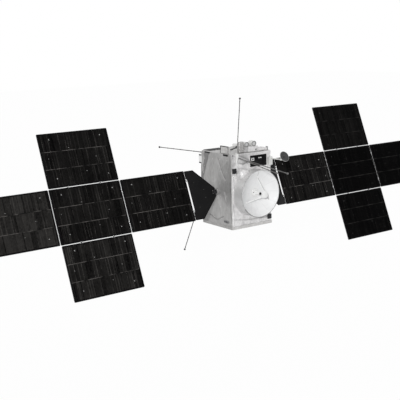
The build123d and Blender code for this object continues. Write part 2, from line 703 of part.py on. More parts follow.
def lug(plane, edge, height, width, bored):
    """One hinge lug drawn about its pin: edge is the signed distance of the panel edge from the pin."""
    with BuildSketch(plane) as shape:
        with BuildLine():
            Polyline(
                (edge, -LUG_FOOT),
                (edge, LUG_FOOT),
                (0, height + KNUCKLE_R),
                (0, height - KNUCKLE_R),
                close=True,
            )
        make_face()
        with Locations((0, height)):
            Circle(KNUCKLE_R)
            if bored:
                Circle(HINGE_PIN_R + PIN_FIT, mode=Mode.SUBTRACT)
    extrude(shape.sketch, amount=width / 2, both=True)


def pin(plane, height):
    with BuildSketch(plane) as shape:
        with Locations((0, height)):
            Circle(HINGE_PIN_R)
    extrude(shape.sketch, amount=PIN_HALF, both=True)


def cross_plane(wing, x, y):
    """Plane across a main hinge: drawn with x out along the wing and y along the cell normal."""
    return Plane(origin=wing.from_local_coords(Vector(x, y, 0)), x_dir=wing.x_dir, z_dir=-wing.y_dir)


def long_plane(wing, x, y):
    """Plane across a side hinge: drawn with x across the wing and y along the cell normal."""
    return Plane(origin=wing.from_local_coords(Vector(x, y, 0)), x_dir=wing.y_dir, z_dir=wing.x_dir)


def main_lugs(wing, owner):
    for inner, outer, x, gap, height in MAIN_HINGES:
        for y in (-MAIN_HINGE_Y, MAIN_HINGE_Y):
            if owner == inner:
                for pair in (-PAIR_AT, PAIR_AT):
                    lug(cross_plane(wing, x, y + pair), -gap / 2, height, KNUCKLE_W, True)
            if owner == outer:
                lug(cross_plane(wing, x, y), gap / 2, height, CENTRE_KNUCKLE_W, False)
                pin(cross_plane(wing, x, y), height)


def side_lugs(wing, owner):
    for panel_name, side, height in SIDE_HINGES:
        for x in (CENTRE_X - SIDE_HINGE_X, CENTRE_X + SIDE_HINGE_X):
            y = side * SIDE_HINGE_Y
            if owner == "centre_panel":
                for pair in (-PAIR_AT, PAIR_AT):
                    lug(long_plane(wing, x + pair, y), -side * PANEL_GAP / 2, height, KNUCKLE_W, True)
            if owner == panel_name:
                lug(long_plane(wing, x, y), side * PANEL_GAP / 2, height, CENTRE_KNUCKLE_W, False)
                pin(long_plane(wing, x, y), height)


HOUSING_END = SIDE_X + DRIVE_L
HUB_FACE = HOUSING_END + DRIVE_AIR
for wing_name, out in (("left", -1), ("right", 1)):
    wing = Plane(origin=(0, 0, AXIS_Z), x_dir=(out, 0, 0), z_dir=CELL_NORMAL)
    drive_face = Plane(origin=(out * SIDE_X, 0, AXIS_Z), x_dir=wing.y_dir, z_dir=(out, 0, 0))

    with BuildPart() as drive_housing:
        with BuildSketch(drive_face):
            Circle(DRIVE_R)
        extrude(amount=DRIVE_L)
        with BuildSketch(drive_face.offset(DRIVE_L)):
            Circle(SHAFT_R + PIN_FIT)
        extrude(amount=-SHAFT_L, mode=Mode.SUBTRACT)
    save(drive_housing, f"{wing_name}_drive_housing")

    with BuildPart() as hub:
        with BuildSketch(drive_face.offset(DRIVE_L + DRIVE_AIR)):
            Circle(SHAFT_R)
        extrude(amount=DRIVE_AIR - SHAFT_L)
        with BuildSketch(drive_face.offset(DRIVE_L + DRIVE_AIR)):
            Circle(HUB_R)
        extrude(amount=HUB_T)
        for ear_side in (-1, 1):
            with BuildSketch(cross_plane(wing, ROOT_X, ear_side * (EAR_GAP + EAR_T) / 2)):
                with Locations((-(ROOT_X - HUB_FACE - HUB_T) / 2, 0)):
                    Rectangle(ROOT_X - HUB_FACE - HUB_T, 2 * EAR_R)
                Circle(EAR_R)
                Circle(ROOT_PIN_R + PIN_FIT, mode=Mode.SUBTRACT)
            extrude(amount=EAR_T / 2, both=True)
    save(hub, f"{wing_name}_hub")

    with BuildPart() as yoke:
        with BuildSketch(wing.offset(-PANEL_T / 2)):
            with BuildLine():
                Polyline(
                    (YOKE_TIP_X, -HUB_R - YOKE_AIR),
                    (YOKE_TIP_X, -YOKE_TIP_W / 2),
                    (FOLD_1_X - YOKE_GAP / 2 - YOKE_STRAIGHT, -PANEL_W / 2),
                    (FOLD_1_X - YOKE_GAP / 2, -PANEL_W / 2),
                    (FOLD_1_X - YOKE_GAP / 2, PANEL_W / 2),
                    (FOLD_1_X - YOKE_GAP / 2 - YOKE_STRAIGHT, PANEL_W / 2),
                    (YOKE_TIP_X, YOKE_TIP_W / 2),
                    (YOKE_TIP_X, HUB_R + YOKE_AIR),
                    (YOKE_START, HUB_R + YOKE_AIR),
                    (YOKE_START, -HUB_R - YOKE_AIR),
                    close=True,
                )
            make_face()
        extrude(amount=PANEL_T)
        with BuildSketch(cross_plane(wing, ROOT_X, 0)):
            Circle(TONGUE_R)
            with Locations(((YOKE_START + 60.0 - ROOT_X) / 2, 0)):
                Rectangle(YOKE_START + 60.0 - ROOT_X, PANEL_T)
        extrude(amount=TONGUE_W / 2, both=True)
        with BuildSketch(cross_plane(wing, ROOT_X, 0)):
            Circle(ROOT_PIN_R)
        extrude(amount=EAR_GAP / 2 + EAR_T + 6.0, both=True)
        main_lugs(wing, "yoke")
    save(yoke, f"{wing_name}_yoke")

    for panel_name, x, y, length in PANELS:
        with BuildPart() as panel:
            with BuildSketch(wing.offset(-PANEL_T / 2)):
                with Locations((x, y)):
                    Rectangle(length, PANEL_W)
            extrude(amount=PANEL_T)
            main_lugs(wing, panel_name)
            side_lugs(wing, panel_name)
        save(panel, f"{wing_name}_{panel_name}")
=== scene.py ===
# %% [markdown]
# # A space probe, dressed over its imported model
#
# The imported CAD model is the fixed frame: it holds every size, place and joint.
# This lesson puts the looks on it. Foil blankets, solar cells, tapes, bolts and
# paint are made here in mesh code and shader nodes, and each new piece rides on
# the CAD body that carries it, so the wings still fold and the booms still swing.

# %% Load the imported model
import math
import random

import bmesh
import bpy
from mathutils import Matrix, Vector, noise


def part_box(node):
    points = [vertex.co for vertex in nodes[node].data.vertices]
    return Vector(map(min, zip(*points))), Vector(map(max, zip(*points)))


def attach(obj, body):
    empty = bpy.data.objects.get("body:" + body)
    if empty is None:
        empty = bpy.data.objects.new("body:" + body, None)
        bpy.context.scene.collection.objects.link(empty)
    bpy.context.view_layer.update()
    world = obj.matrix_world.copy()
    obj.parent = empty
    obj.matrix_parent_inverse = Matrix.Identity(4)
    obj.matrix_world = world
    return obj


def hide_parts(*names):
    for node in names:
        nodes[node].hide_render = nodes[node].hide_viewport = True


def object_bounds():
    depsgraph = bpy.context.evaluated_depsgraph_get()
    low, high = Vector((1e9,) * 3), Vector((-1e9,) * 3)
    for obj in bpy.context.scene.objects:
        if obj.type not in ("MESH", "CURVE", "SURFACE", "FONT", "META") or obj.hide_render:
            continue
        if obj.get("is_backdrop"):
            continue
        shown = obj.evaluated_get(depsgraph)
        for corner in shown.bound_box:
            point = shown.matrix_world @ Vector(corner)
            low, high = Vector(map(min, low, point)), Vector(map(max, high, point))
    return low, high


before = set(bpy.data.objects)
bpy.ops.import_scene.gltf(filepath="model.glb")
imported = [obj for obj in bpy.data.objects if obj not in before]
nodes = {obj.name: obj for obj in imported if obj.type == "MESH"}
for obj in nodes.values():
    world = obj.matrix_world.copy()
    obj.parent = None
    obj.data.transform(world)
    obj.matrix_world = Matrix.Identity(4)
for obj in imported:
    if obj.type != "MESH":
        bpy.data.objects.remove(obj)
scene = bpy.context.scene
CAD_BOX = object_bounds()

# %% [markdown]
# ## Camera
#
# The photograph was taken with a long lens from the front left and a little above.
# The place and the turns below were solved from the corners of the panels, so that
# the model falls on nearly the same pixels as the real probe.

# %% Camera
CAMERA_AT = Vector((-24.631, -31.777, 9.340))
YAW, PITCH, ROLL = (math.radians(a) for a in (-35.139, 11.371, -1.617))
look = Vector((-math.sin(YAW) * math.cos(PITCH), math.cos(YAW) * math.cos(PITCH), -math.sin(PITCH)))
level = Vector((math.cos(YAW), math.sin(YAW), 0.0))
above = level.cross(look)
cam_x = level * math.cos(ROLL) + above * math.sin(ROLL)
cam_y = above * math.cos(ROLL) - level * math.sin(ROLL)
lens = bpy.data.cameras.new("photo_camera")
lens.lens = 73.41
lens.sensor_width = 36.0
lens.clip_end = 900.0
camera = bpy.data.objects.new("photo_camera", lens)
scene.collection.objects.link(camera)
camera.matrix_world = Matrix.Translation(CAMERA_AT) @ Matrix((cam_x, cam_y, -look)).transposed().to_4x4()
scene.camera = camera
scene.view_settings.view_transform = "Standard"
print("camera at", [round(c, 2) for c in CAMERA_AT], "with a lens of", round(lens.lens, 1), "mm")

# %% [markdown]
# ## Light and floor
#
# The picture has light from near the camera and a pure white ground. A sun from the
# front left is the key, a wide and weak one stands above, and the world fills the
# shadows. Rays from the camera, from gloss or through clear parts see a white world.
# The floor lies far below the probe and shows only a faint shadow.

# %% Node helpers for the studio
def grey(value):
    return (value, value, value)


def fresh_tree(owner):
    """The emptied node tree of a new world or material."""
    owner.use_nodes = True
    owner.node_tree.nodes.clear()
    return owner.node_tree


def feed(tree, node, inputs):
    """Fills the inputs of a node: links where a socket is given, and sets plain values."""
    for key, value in inputs.items():
        socket = node.inputs[key]
        if isinstance(value, bpy.types.NodeSocket):
            tree.links.new(value, socket)
        else:
            socket.default_value = (*value, 1.0) if socket.type == "RGBA" else value


def add_node(tree, kind, inputs=(), **settings):
    """A new shader node with its settings and inputs. Returns its outputs."""
    node = tree.nodes.new("ShaderNode" + kind)
    for key, value in settings.items():
        setattr(node, key, value)
    feed(tree, node, dict(inputs))
    return node.outputs


def math_node(tree, operation, a, b, clamp=False):
    """A math node on two values, each a number or a socket."""
    return add_node(tree, "Math", {0: a, 1: b}, operation=operation, use_clamp=clamp)[0]


def seen_white(tree, shaded, white, output, share=1.0):
    """Camera, glossy and clear rays see the white shader by a share, and all others the shaded one."""
    path = add_node(tree, "LightPath")
    seen = math_node(tree, "ADD", path["Is Camera Ray"], path["Is Glossy Ray"])
    seen = math_node(tree, "ADD", seen, path["Is Transmission Ray"], clamp=True)
    mask = math_node(tree, "MULTIPLY", seen, share)
    mixed = add_node(tree, "MixShader", {0: mask, 1: shaded[0], 2: white[0]})
    add_node(tree, "Output" + output, {0: mixed[0]})


# %% Lamps and world
def sun(name, towards, strength, angle):
    lamp = bpy.data.lights.new(name, "SUN")
    lamp.energy = strength
    lamp.angle = math.radians(angle)
    obj = bpy.data.objects.new(name, lamp)
    obj.rotation_euler = Vector(towards).to_track_quat("-Z", "Y").to_euler()
    scene.collection.objects.link(obj)


sun("key_lamp", (0.66, 0.71, -0.26), 1.80, 2.2)
sun("top_lamp", (-0.15, 0.30, -0.94), 0.35, 50.0)
scene.world = bpy.data.worlds.new("studio")
tree = fresh_tree(scene.world)
ambient = add_node(tree, "Background", {"Color": (0.98, 0.99, 1.0), "Strength": 0.50})
seen_white(tree, ambient, add_node(tree, "Background", {"Color": grey(1.0)}), "World")
print("key lamp, top lamp and a white world are set")

# %% Floor
FLOOR_Z = -9.0
FLOOR_HALF = 260.0
corners = [(x * FLOOR_HALF, y * FLOOR_HALF, FLOOR_Z) for x, y in ((-1, -1), (1, -1), (1, 1), (-1, 1))]
floor_mesh = bpy.data.meshes.new("floor")
floor_mesh.from_pydata(corners, [], [(0, 1, 2, 3)])
floor = bpy.data.objects.new("floor", floor_mesh)
scene.collection.objects.link(floor)
floor_paper = bpy.data.materials.new("floor_paper")
tree = fresh_tree(floor_paper)
paper = add_node(tree, "BsdfDiffuse", {"Color": grey(0.86)})
seen_white(tree, paper, add_node(tree, "Emission", {"Color": grey(1.0)}), "Material", 0.97)
floor_mesh.materials.append(floor_paper)
floor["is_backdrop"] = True
print("floor at", FLOOR_Z, "m")

# %% [markdown]
# ## Shared effects as node groups
#
# Four effects come back on many finishes: the crumple of foil, grime, the fine grain
# of paint, and a woven cloth. Each is a group with named sockets. A material sets the
# scale, and keeps its Principled shader for itself.

# %% Node group helpers
def group(name, inputs, outputs):
    """A new shader group: its tree, its inputs and outputs by name, and the object's coordinates."""
    tree = bpy.data.node_groups.new(name, "ShaderNodeTree")
    for label, default in inputs:
        socket = tree.interface.new_socket(label, in_out="INPUT", socket_type="NodeSocketFloat")
        socket.default_value = default
    for label in outputs:
        tree.interface.new_socket(label, in_out="OUTPUT", socket_type="NodeSocketFloat")
    given = tree.nodes.new("NodeGroupInput").outputs
    result = tree.nodes.new("NodeGroupOutput").inputs
    return tree, given, result, add_node(tree, "TexCoord")["Object"]


def stretched(tree, value, middle, gain, clamp=False):
    """How far a value lies above a middle, times a gain."""
    return math_node(tree, "MULTIPLY", math_node(tree, "SUBTRACT", value, middle), gain, clamp)


def texture(tree, kind, scale, vector, inputs=(), **settings):
    """The outputs of a texture node with its scale linked, on the given coordinates."""
    return add_node(tree, "Tex" + kind, {"Scale": scale, "Vector": vector, **dict(inputs)}, **settings)


# %% Foil crumple group
FOIL, given, result, place_at = group("Foil crumple", (("Scale", 2.0),), ("Height", "Tone", "Crease"))
scale = given["Scale"]
drift = texture(FOIL, "Noise", scale, place_at, {"Detail": 2.0})["Color"]
shift = add_node(FOIL, "VectorMath", {0: drift, 1: grey(0.30), 2: place_at}, operation="MULTIPLY_ADD")[0]
turn = {"Vector": shift, "Rotation": (0.55, 0.45, 0.3), "Scale": (1.6, 1.6, 0.55)}
leaning = add_node(FOIL, "Mapping", turn)[0]
folds = texture(FOIL, "Noise", scale, leaning, {"Detail": 2.0}, noise_type="RIDGED_MULTIFRACTAL")["Fac"]
facets = texture(FOIL, "Voronoi", math_node(FOIL, "MULTIPLY", scale, 4.3), leaning)["Distance"]
cloud = texture(FOIL, "Noise", scale, place_at, {"Detail": 4.0, "Roughness": 0.6})["Fac"]
small = math_node(FOIL, "MULTIPLY", facets, 0.35)
ridge = math_node(FOIL, "MULTIPLY", folds, 0.55)
FOIL.links.new(math_node(FOIL, "ADD", ridge, small), result["Height"])
tones = math_node(FOIL, "ADD", stretched(FOIL, cloud, 0.5, 1.6), stretched(FOIL, facets, 0.4, 0.5))
FOIL.links.new(math_node(FOIL, "ADD", tones, 0.5, clamp=True), result["Tone"])
FOIL.links.new(stretched(FOIL, folds, 1.15, 2.2, clamp=True), result["Crease"])
print("group", FOIL.name, "has", len(FOIL.nodes), "nodes")

# %% Grime, grain and weave groups
GRIME, given, result, place_at = group("Grime", (("Scale", 1.0), ("Contrast", 2.0)), ("Mask",))
cloud = texture(GRIME, "Noise", given["Scale"], place_at, {"Detail": 6.0, "Roughness": 0.62})["Fac"]
blotches = stretched(GRIME, cloud, 0.5, given["Contrast"])
GRIME.links.new(math_node(GRIME, "ADD", blotches, 0.5, clamp=True), result["Mask"])

GRAIN, given, result, place_at = group("Fine grain", (("Scale", 60.0),), ("Height",))
GRAIN.links.new(texture(GRAIN, "Noise", given["Scale"], place_at, {"Detail": 3.0})["Fac"], result["Height"])

WEAVE, given, result, place_at = group("Woven cloth", (("Scale", 30.0),), ("Height", "Mask"))
warp, weft = (
    texture(WEAVE, "Wave", given["Scale"], place_at, {"Distortion": 0.4}, bands_direction=direction)["Fac"]
    for direction in ("X", "Z")
)
WEAVE.links.new(math_node(WEAVE, "MAXIMUM", warp, weft), result["Height"])
WEAVE.links.new(math_node(WEAVE, "GREATER_THAN", warp, weft), result["Mask"])
print("groups", GRIME.name, "/", GRAIN.name, "/", WEAVE.name)


# %% [markdown]
# ## Finishes
#
# A finish is a small recipe: tones mixed by masks, a roughness that follows a mask,
# and mostly a bump. The recipes below cover foil, paint and metal. Those of the dish
# and the panels follow with their parts.

# %% Recipe helpers
def finish(name, metallic=0.0, specular=0.5):
    """A new material with its node tree and its Principled shader."""
    mat = bpy.data.materials.new(name)
    tree = fresh_tree(mat)
    shader = tree.nodes.new("ShaderNodeBsdfPrincipled")
    feed(tree, shader, {"Metallic": metallic, "Specular IOR Level": specular})
    add_node(tree, "OutputMaterial", {0: shader.outputs[0]})
    return mat, tree, shader


def put(tree, shared, **values):
    """Puts a shared group into a tree and returns its outputs."""
    return add_node(tree, "Group", values, node_tree=shared)


def stored(tree, name):
    """A value that is stored on the mesh."""
    return add_node(tree, "Attribute", attribute_name=name)["Fac"]


def two_tones(tree, mask, dark, light):
    """Mixes two colours by a mask. Inputs 6 and 7 and output 2 of the node carry colours."""
    return add_node(tree, "Mix", {0: mask, 6: dark, 7: light}, data_type="RGBA")[2]


def spread(tree, mask, low, high):
    """Maps a mask of 0 to 1 onto a range."""
    return add_node(tree, "MapRange", {"Value": mask, "To Min": low, "To Max": high})["Result"]


def coat(tree, shader, colour, mask, first, last):
    """Sets the colour, and a roughness that goes from first to last with a mask."""
    feed(tree, shader, {"Base Color": colour, "Roughness": spread(tree, mask, first, last)})


def bumped(tree, shader, height, strength, distance):
    bump = add_node(tree, "Bump", {"Height": height, "Strength": strength, "Distance": distance})
    feed(tree, shader, {"Normal": bump[0]})


# %% Recipes for foil and paint
def foil(name, dark, light, scale, strength, rough, metallic):
    """Crumpled foil: clouds of tone, creases darkened as painted shade, stains and painted shade stored on
    the mesh, bump from the folds.
    """
    mat, tree, shader = finish(name, metallic)
    crumpled = put(tree, FOIL, Scale=scale)
    sheet = two_tones(tree, crumpled["Tone"], dark, light)
    # The creases of the crumple are darkened: painted shade in the folds of the foil.
    wear_and_crease_shade = spread(tree, crumpled["Crease"], 0.0, 0.30)
    creased = two_tones(tree, wear_and_crease_shade, sheet, tuple(c * 0.5 for c in dark))
    # The stored value darkens the foil further: stains, and painted shade along the long folds and the top
    # of the front wall.
    stained_and_shaded = two_tones(tree, stored(tree, "stain_and_shade"), creased, tuple(c * 0.3 for c in dark))
    coat(tree, shader, stained_and_shaded, crumpled["Tone"], rough + 0.12, rough - 0.10)
    bumped(tree, shader, crumpled["Height"], strength, 0.06)
    return mat


def painted(name, dark, light, rough, grain=60.0, metallic=0.0, specular=0.4, contrast=2.2):
    """Paint or bare metal: blotches of grime between two tones, and a fine grain."""
    mat, tree, shader = finish(name, metallic, specular)
    grime = put(tree, GRIME, Scale=2.2, Contrast=contrast)["Mask"]
    peel = put(tree, GRAIN, Scale=grain)["Height"]
    coat(tree, shader, two_tones(tree, grime, dark, light), grime, rough + 0.10, rough - 0.08)
    bumped(tree, shader, peel, 0.12, 0.004)
    return mat


# %% Finishes of the body, the dish and the metal parts
FRONT_FOIL = foil("front_foil", (0.52, 0.51, 0.51), (0.84, 0.83, 0.83), 2.6, 0.80, 0.40, 0.30)
SIDE_FOIL = foil("side_foil", (0.28, 0.275, 0.27), (0.42, 0.415, 0.41), 1.5, 0.55, 0.42, 0.30)
# The flap foil is darker than the side foil: painted shade on the loose flap.
FLAP_FOIL = foil("flap_foil", (0.125, 0.122, 0.121), (0.205, 0.202, 0.200), 1.6, 0.50, 0.42, 0.30)
ROOF_FOIL = foil("roof_foil", (0.46, 0.45, 0.44), (0.68, 0.67, 0.66), 2.4, 0.55, 0.42, 0.30)
DRUM_FOIL = foil("drum_foil", (0.52, 0.515, 0.515), (0.65, 0.645, 0.64), 1.8, 0.20, 0.42, 0.25)
BENCH_FOIL = foil("bench_foil", (0.42, 0.41, 0.40), (0.66, 0.65, 0.64), 4.0, 0.60, 0.40, 0.35)
BLACK_PAINT = painted("black_paint", (0.008, 0.008, 0.009), (0.022, 0.022, 0.023), 0.62, specular=0.25)
PALE_METAL = painted("pale_metal", (0.56, 0.56, 0.55), (0.74, 0.74, 0.72), 0.40, 90.0, 0.25)
BARE_METAL = painted("bare_metal", (0.24, 0.24, 0.25), grey(0.42), 0.38, 120.0, 0.75)
ENGINE_METAL = painted("engine_metal", (0.10, 0.09, 0.085), (0.24, 0.21, 0.19), 0.36, 90.0, 0.8)
FEED_WHITE = painted("feed_white", (0.72, 0.72, 0.71), (0.86, 0.86, 0.85), 0.50)
STRUT_WHITE = painted("strut_white", (0.74, 0.74, 0.73), (0.88, 0.88, 0.87), 0.46)
SLEEVE_GREY = painted("sleeve_grey", grey(0.40), (0.58, 0.58, 0.575), 0.50, 40.0, 0.0, 0.2)
# Rim grey paints shadow on the lower arc of the dish rim, and is also the grey of the telescope hoods, lips
# and a roof box.
RIM_GREY = painted("rim_grey", grey(0.16), (0.28, 0.28, 0.275), 0.45, 40.0, 0.0, 0.2)
SMALL_GREY = painted("small_dish_grey", (0.030, 0.030, 0.031), grey(0.062), 0.55, specular=0.2)
BOOM_DARK = painted("boom_tube", (0.030, 0.030, 0.032), (0.075, 0.074, 0.072), 0.48, 70.0, 0.2)
BOOM_GREY = painted("boom_grey", (0.09, 0.089, 0.086), (0.19, 0.187, 0.182), 0.48, 70.0, 0.1, 0.2)
TAPE_GREY = painted("tape_grey", (0.42, 0.42, 0.41), (0.64, 0.64, 0.63), 0.36, 40.0, 0.2)
print(len(bpy.data.materials), "materials so far")


# %% [markdown]
# ## Helpers for meshes
#
# Many pieces are repeats of a small turned or chamfered shape. A Batch gathers them
# into one mesh, each placed by a matrix, so a hundred bolts are one object.

# %% Shapes as points and faces
TO_FRONT, TO_REAR, UP = (0, -1, 0), (0, 1, 0), (0, 0, 1)


def chamfered(size, cut):
    """Corners and faces of a block with its edges cut."""
    bm = bmesh.new()
    bmesh.ops.create_cube(bm, size=1.0, matrix=Matrix.Diagonal((*size, 1.0)))
    bmesh.ops.bevel(bm, geom=bm.edges[:], offset=cut, segments=1, affect="EDGES")
    bm.verts.index_update()
    shape = [tuple(v.co) for v in bm.verts], [[v.index for v in f.verts] for f in bm.faces]
    bm.free()
    return shape


def turned(profile, steps=24):
    """Turns (radius, height) pairs about local Z. A radius of 0 closes the end in a point."""
    verts, rings, faces = [], [], []
    for radius, height in profile:
        ring = []
        for k in range(steps if radius > 0 else 1):
            angle = 2 * math.pi * k / steps
            ring.append(len(verts))
            verts.append((radius * math.cos(angle), radius * math.sin(angle), height))
        rings.append(ring)
    for low, high in zip(rings, rings[1:]):
        for k in range(steps):
            n = k + 1
            face = [low[k % len(low)], low[n % len(low)], high[n % len(high)], high[k % len(high)]]
            faces.append(list(dict.fromkeys(face)))
    return verts, faces


def hoop(inner, outer, height, cut, steps):
    """A ring around a tube, with both edges sloped."""
    return turned(((inner, 0.0), (outer, cut), (outer, height - cut), (inner, height)), steps)


def net(rows, closed=False):
    """Rows of points as one sheet. A closed sheet joins the end of each row to its start."""
    wide = len(rows[0])
    faces = []
    for i in range(len(rows) - 1):
        for j in range(wide if closed else wide - 1):
            a, b = i * wide + j, i * wide + (j + 1) % wide
            faces.append([a, b, b + wide, a + wide])
    return [p for row in rows for p in row], faces


def at(origin, along=UP, across=(1, 0, 0)):
    """A matrix whose Z looks along a direction, placed at origin."""
    z = Vector(along).normalized()
    x = Vector(across)
    if abs(x.normalized().dot(z)) < 0.99:
        x = (x - z * x.dot(z)).normalized()
    else:
        x = z.orthogonal().normalized()
    return Matrix.Translation(Vector(origin)) @ Matrix((x, z.cross(x), z)).transposed().to_4x4()


def spokes(axis, count, first=0.0):
    """Directions that stand evenly around an axis."""
    a, b = [k for k in range(3) if k != axis]
    for k in range(count):
        turn = 2 * math.pi * (k + first) / count
        out = Vector((0, 0, 0))
        out[a], out[b] = math.cos(turn), math.sin(turn)
        yield out


# %% Batch of shapes, stains and finishes
class Batch:
    """Gathers shapes into one mesh, then makes the piece that rides on a body."""

    def __init__(self, *shapes):
        self.verts, self.faces = [], []
        for shape in shapes:
            self.add(shape)

    def add(self, shape, place=Matrix.Identity(4)):
        first = len(self.verts)
        self.verts += [place @ Vector(v) for v in shape[0]]
        self.faces += [[first + i for i in f] for f in shape[1]]

    def block(self, size, cut, where, basis=Matrix.Identity(4)):
        """Adds a block with cut edges, its middle at a point of a basis."""
        self.add(chamfered(size, cut), basis @ Matrix.Translation(where))

    def piece(self, name, body, material, slot, smooth=None):
        mesh = bpy.data.meshes.new(name)
        mesh.from_pydata(self.verts, [], self.faces)
        mesh.update()
        obj = bpy.data.objects.new(name, mesh)
        scene.collection.objects.link(obj)
        mesh.materials.append(material)
        if smooth is not None:
            mesh.shade_smooth()
            mesh.set_sharp_from_angle(angle=math.radians(smooth))
        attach(obj, body)
        return obj


def stain_and_shade(obj, shades):
    """Stores how much stains and painted shade darken each point of a foil piece."""
    obj.data.attributes.new("stain_and_shade", "FLOAT", "POINT").data.foreach_set("value", shades)


def dress(material, *names):
    """Gives CAD nodes a better finish in their own slots."""
    for name in names:
        for slot in nodes[name].material_slots:
            slot.material = material


# %% [markdown]
# ## Foil blankets on the body
#
# The body is wrapped in crumpled foil. A blanket is a fine grid over one side of the
# box. Its rim is rounded so that neighbours meet, and its points move in and out by
# soft billows and long folds. Real relief catches the light better than a bump alone,
# and the bump adds the small wrinkles.

# %% Crumple as real relief
# turn of the folds, weight
FOLDS = (
    (Matrix.Rotation(0.60, 3, (1, 1, 0)), 1.0),
    (Matrix.Rotation(-0.85, 3, (1, 0.3, 0.2)), 0.8),
    (Matrix.Rotation(1.90, 3, (0.2, 1, 0.6)), 0.5),
)


def crumple(point, size, seed):
    """Relief of a foil blanket at a point: soft billows with long, sharp folds leaning several ways."""
    p = Vector(point) / size + Vector((seed * 7.31, seed * 3.77, seed * 5.13))
    height = 0.9 * noise.noise(p * 0.55)
    for lean, weight in FOLDS:
        q = lean @ p
        fold = abs(noise.noise(Vector((q.x * 0.9, q.y * 0.9, q.z * 0.28))))
        height += weight * (0.9 * max(0.0, 1.0 - 7.0 * fold) - 0.18)
    return max(-1.0, min(1.0, height))


# %% One side of a wrapped box
CALM = 0.12


def ticks(low, high, step, marks=()):
    """Even divisions from low to high that also meet each mark."""
    stops = sorted({low, high, *marks})
    out = [low]
    for a, b in zip(stops, stops[1:]):
        n = max(1, round((b - a) / step))
        out += [a + (b - a) * k / n for k in range(1, n + 1)]
    return out


def core_point(p, low, high, inset):
    """The nearest point of a box that is smaller by an inset on every side."""
    return Vector([min(max(p[k], low[k] + inset), high[k] - inset) for k in range(3)])


def on_wall(p, axis):
    """The two wall coordinates of a point."""
    return [p[k] for k in range(3) if k != axis]


def outside(gap, s, t):
    """How far a wall point lies outside an opening, less than 0 within it."""
    return max(gap[0] - s, s - gap[1], gap[2] - t, t - gap[3])


def box_side(low, high, axis, sign, step, round_r, relief, gaps=()):
    """One side of a rounded, crumpled box as points and faces. Gaps are (a0, a1, b0, b1) openings."""
    a, b = [k for k in range(3) if k != axis]
    marks = {a: [v for g in gaps for v in g[0:2]], b: [v for g in gaps for v in g[2:4]]}
    if (axis == 1) == (sign > 0):
        a, b = b, a
    us, vs = (ticks(low[k], high[k], step, marks[k]) for k in (a, b))

    def away(u, v):
        """A point of the side, and how far it lies outside the openings."""
        p = Vector((0, 0, 0))
        p[axis], p[a], p[b] = (high if sign > 0 else low)[axis], u, v
        return p, min([outside(g, *on_wall(p, axis)) for g in gaps], default=CALM)

    verts, faces = [], []
    for u in us:
        for v in vs:
            p, clear = away(u, v)
            core = core_point(p, low, high, round_r)
            calm = max(0.0, min(1.0, clear / CALM))
            verts.append(core + (p - core).normalized() * (round_r + relief(p) * calm))
    n = len(vs)
    for i in range(len(us) - 1):
        for j in range(n - 1):
            if away((us[i] + us[i + 1]) / 2, (vs[j] + vs[j + 1]) / 2)[1] > 0:
                faces.append([i * n + j, (i + 1) * n + j, (i + 1) * n + j + 1, i * n + j + 1])
    return verts, faces


# %% Folds, stains and painted shade of the walls
BODY_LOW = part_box("bottom_deck")[0]
BODY_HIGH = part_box("top_deck")[1]
BODY = (BODY_LOW, BODY_HIGH)
ROUND = 0.045
GRID = 0.03
# Painted shade along each long fold, and the most that stains and painted shade darken a point
FOLD_SHADE = 0.50
STAIN_AND_SHADE_LIMIT = 0.8
FRONT_REACH = 0.15
# relief and sink of the blanket, each with what the front wall adds
RELIEF, FRONT_RELIEF = 0.012, 0.008
SINK, FRONT_SINK = 0.006, 0.005
# Long folds: axis, sign, depth, half width, line in the two wall coordinates
CREASES = (
    (0, -1, 0.046, 0.050, ((-0.16, 3.43), (-0.35, 2.98), (-0.54, 2.66), (-0.69, 2.49))),
    (0, -1, 0.046, 0.040, ((-0.62, 1.85), (-0.76, 1.43))),
    (0, -1, 0.044, 0.040, ((0.65, 0.57), (0.07, 0.37), (-0.47, 0.62))),
    (0, -1, 0.018, 0.030, ((-1.09, 3.60), (-1.10, 0.40))),
    (1, -1, 0.026, 0.050, ((-0.76, 3.66), (-0.20, 3.42))),
    (1, -1, 0.026, 0.050, ((-0.78, 3.28), (-0.50, 3.22), (-0.20, 3.30))),
    (1, -1, 0.022, 0.040, ((-1.10, 0.55), (-0.30, 0.44), (1.10, 0.40))),
    (1, 1, 0.030, 0.060, ((-0.90, 1.60), (-0.20, 1.10), (0.70, 1.45))),
    (0, 1, 0.032, 0.055, ((0.80, 3.30), (0.20, 2.60), (-0.60, 2.40))),
    (0, 1, 0.032, 0.050, ((0.60, 0.70), (-0.10, 1.20), (-0.80, 0.90))),
)
# Stains and painted shade: axis, sign, two wall coordinates, reach, amount. The spots along the top of the
# front wall are painted shade under the roof's edge.
STAINS_AND_SHADE = (
    (1, -1, -1.22, 3.62, 0.24, 0.55),
    (1, -1, -1.24, 3.20, 0.22, 0.50),
    (1, -1, -1.24, 2.75, 0.12, 0.40),
    (1, -1, -0.52, 3.62, 0.28, 0.52),
    (1, -1, 0.15, 3.70, 0.30, 0.34),
    (1, -1, 0.75, 3.72, 0.26, 0.22),
    (1, -1, -0.40, 3.28, 0.22, 0.28),
    (1, -1, -1.20, 1.20, 0.12, 0.25),
    (1, -1, 0.10, 0.30, 0.22, 0.20),
    (0, -1, -1.16, 2.00, 0.10, 0.25),
    (2, 1, -0.30, -0.20, 2.50, 0.42),
    (1, 1, 0.40, 0.90, 0.40, 0.25),
    (0, 1, 0.30, 2.90, 0.45, 0.25),
)


def off_line(a, b, line):
    """Distance from a point to a line of points."""
    best = 9.0
    for (a0, b0), (a1, b1) in zip(line, line[1:]):
        da, db = a1 - a0, b1 - b0
        t = max(0.0, min(1.0, ((a - a0) * da + (b - b0) * db) / (da * da + db * db)))
        best = min(best, math.hypot(a - a0 - t * da, b - b0 - t * db))
    return best


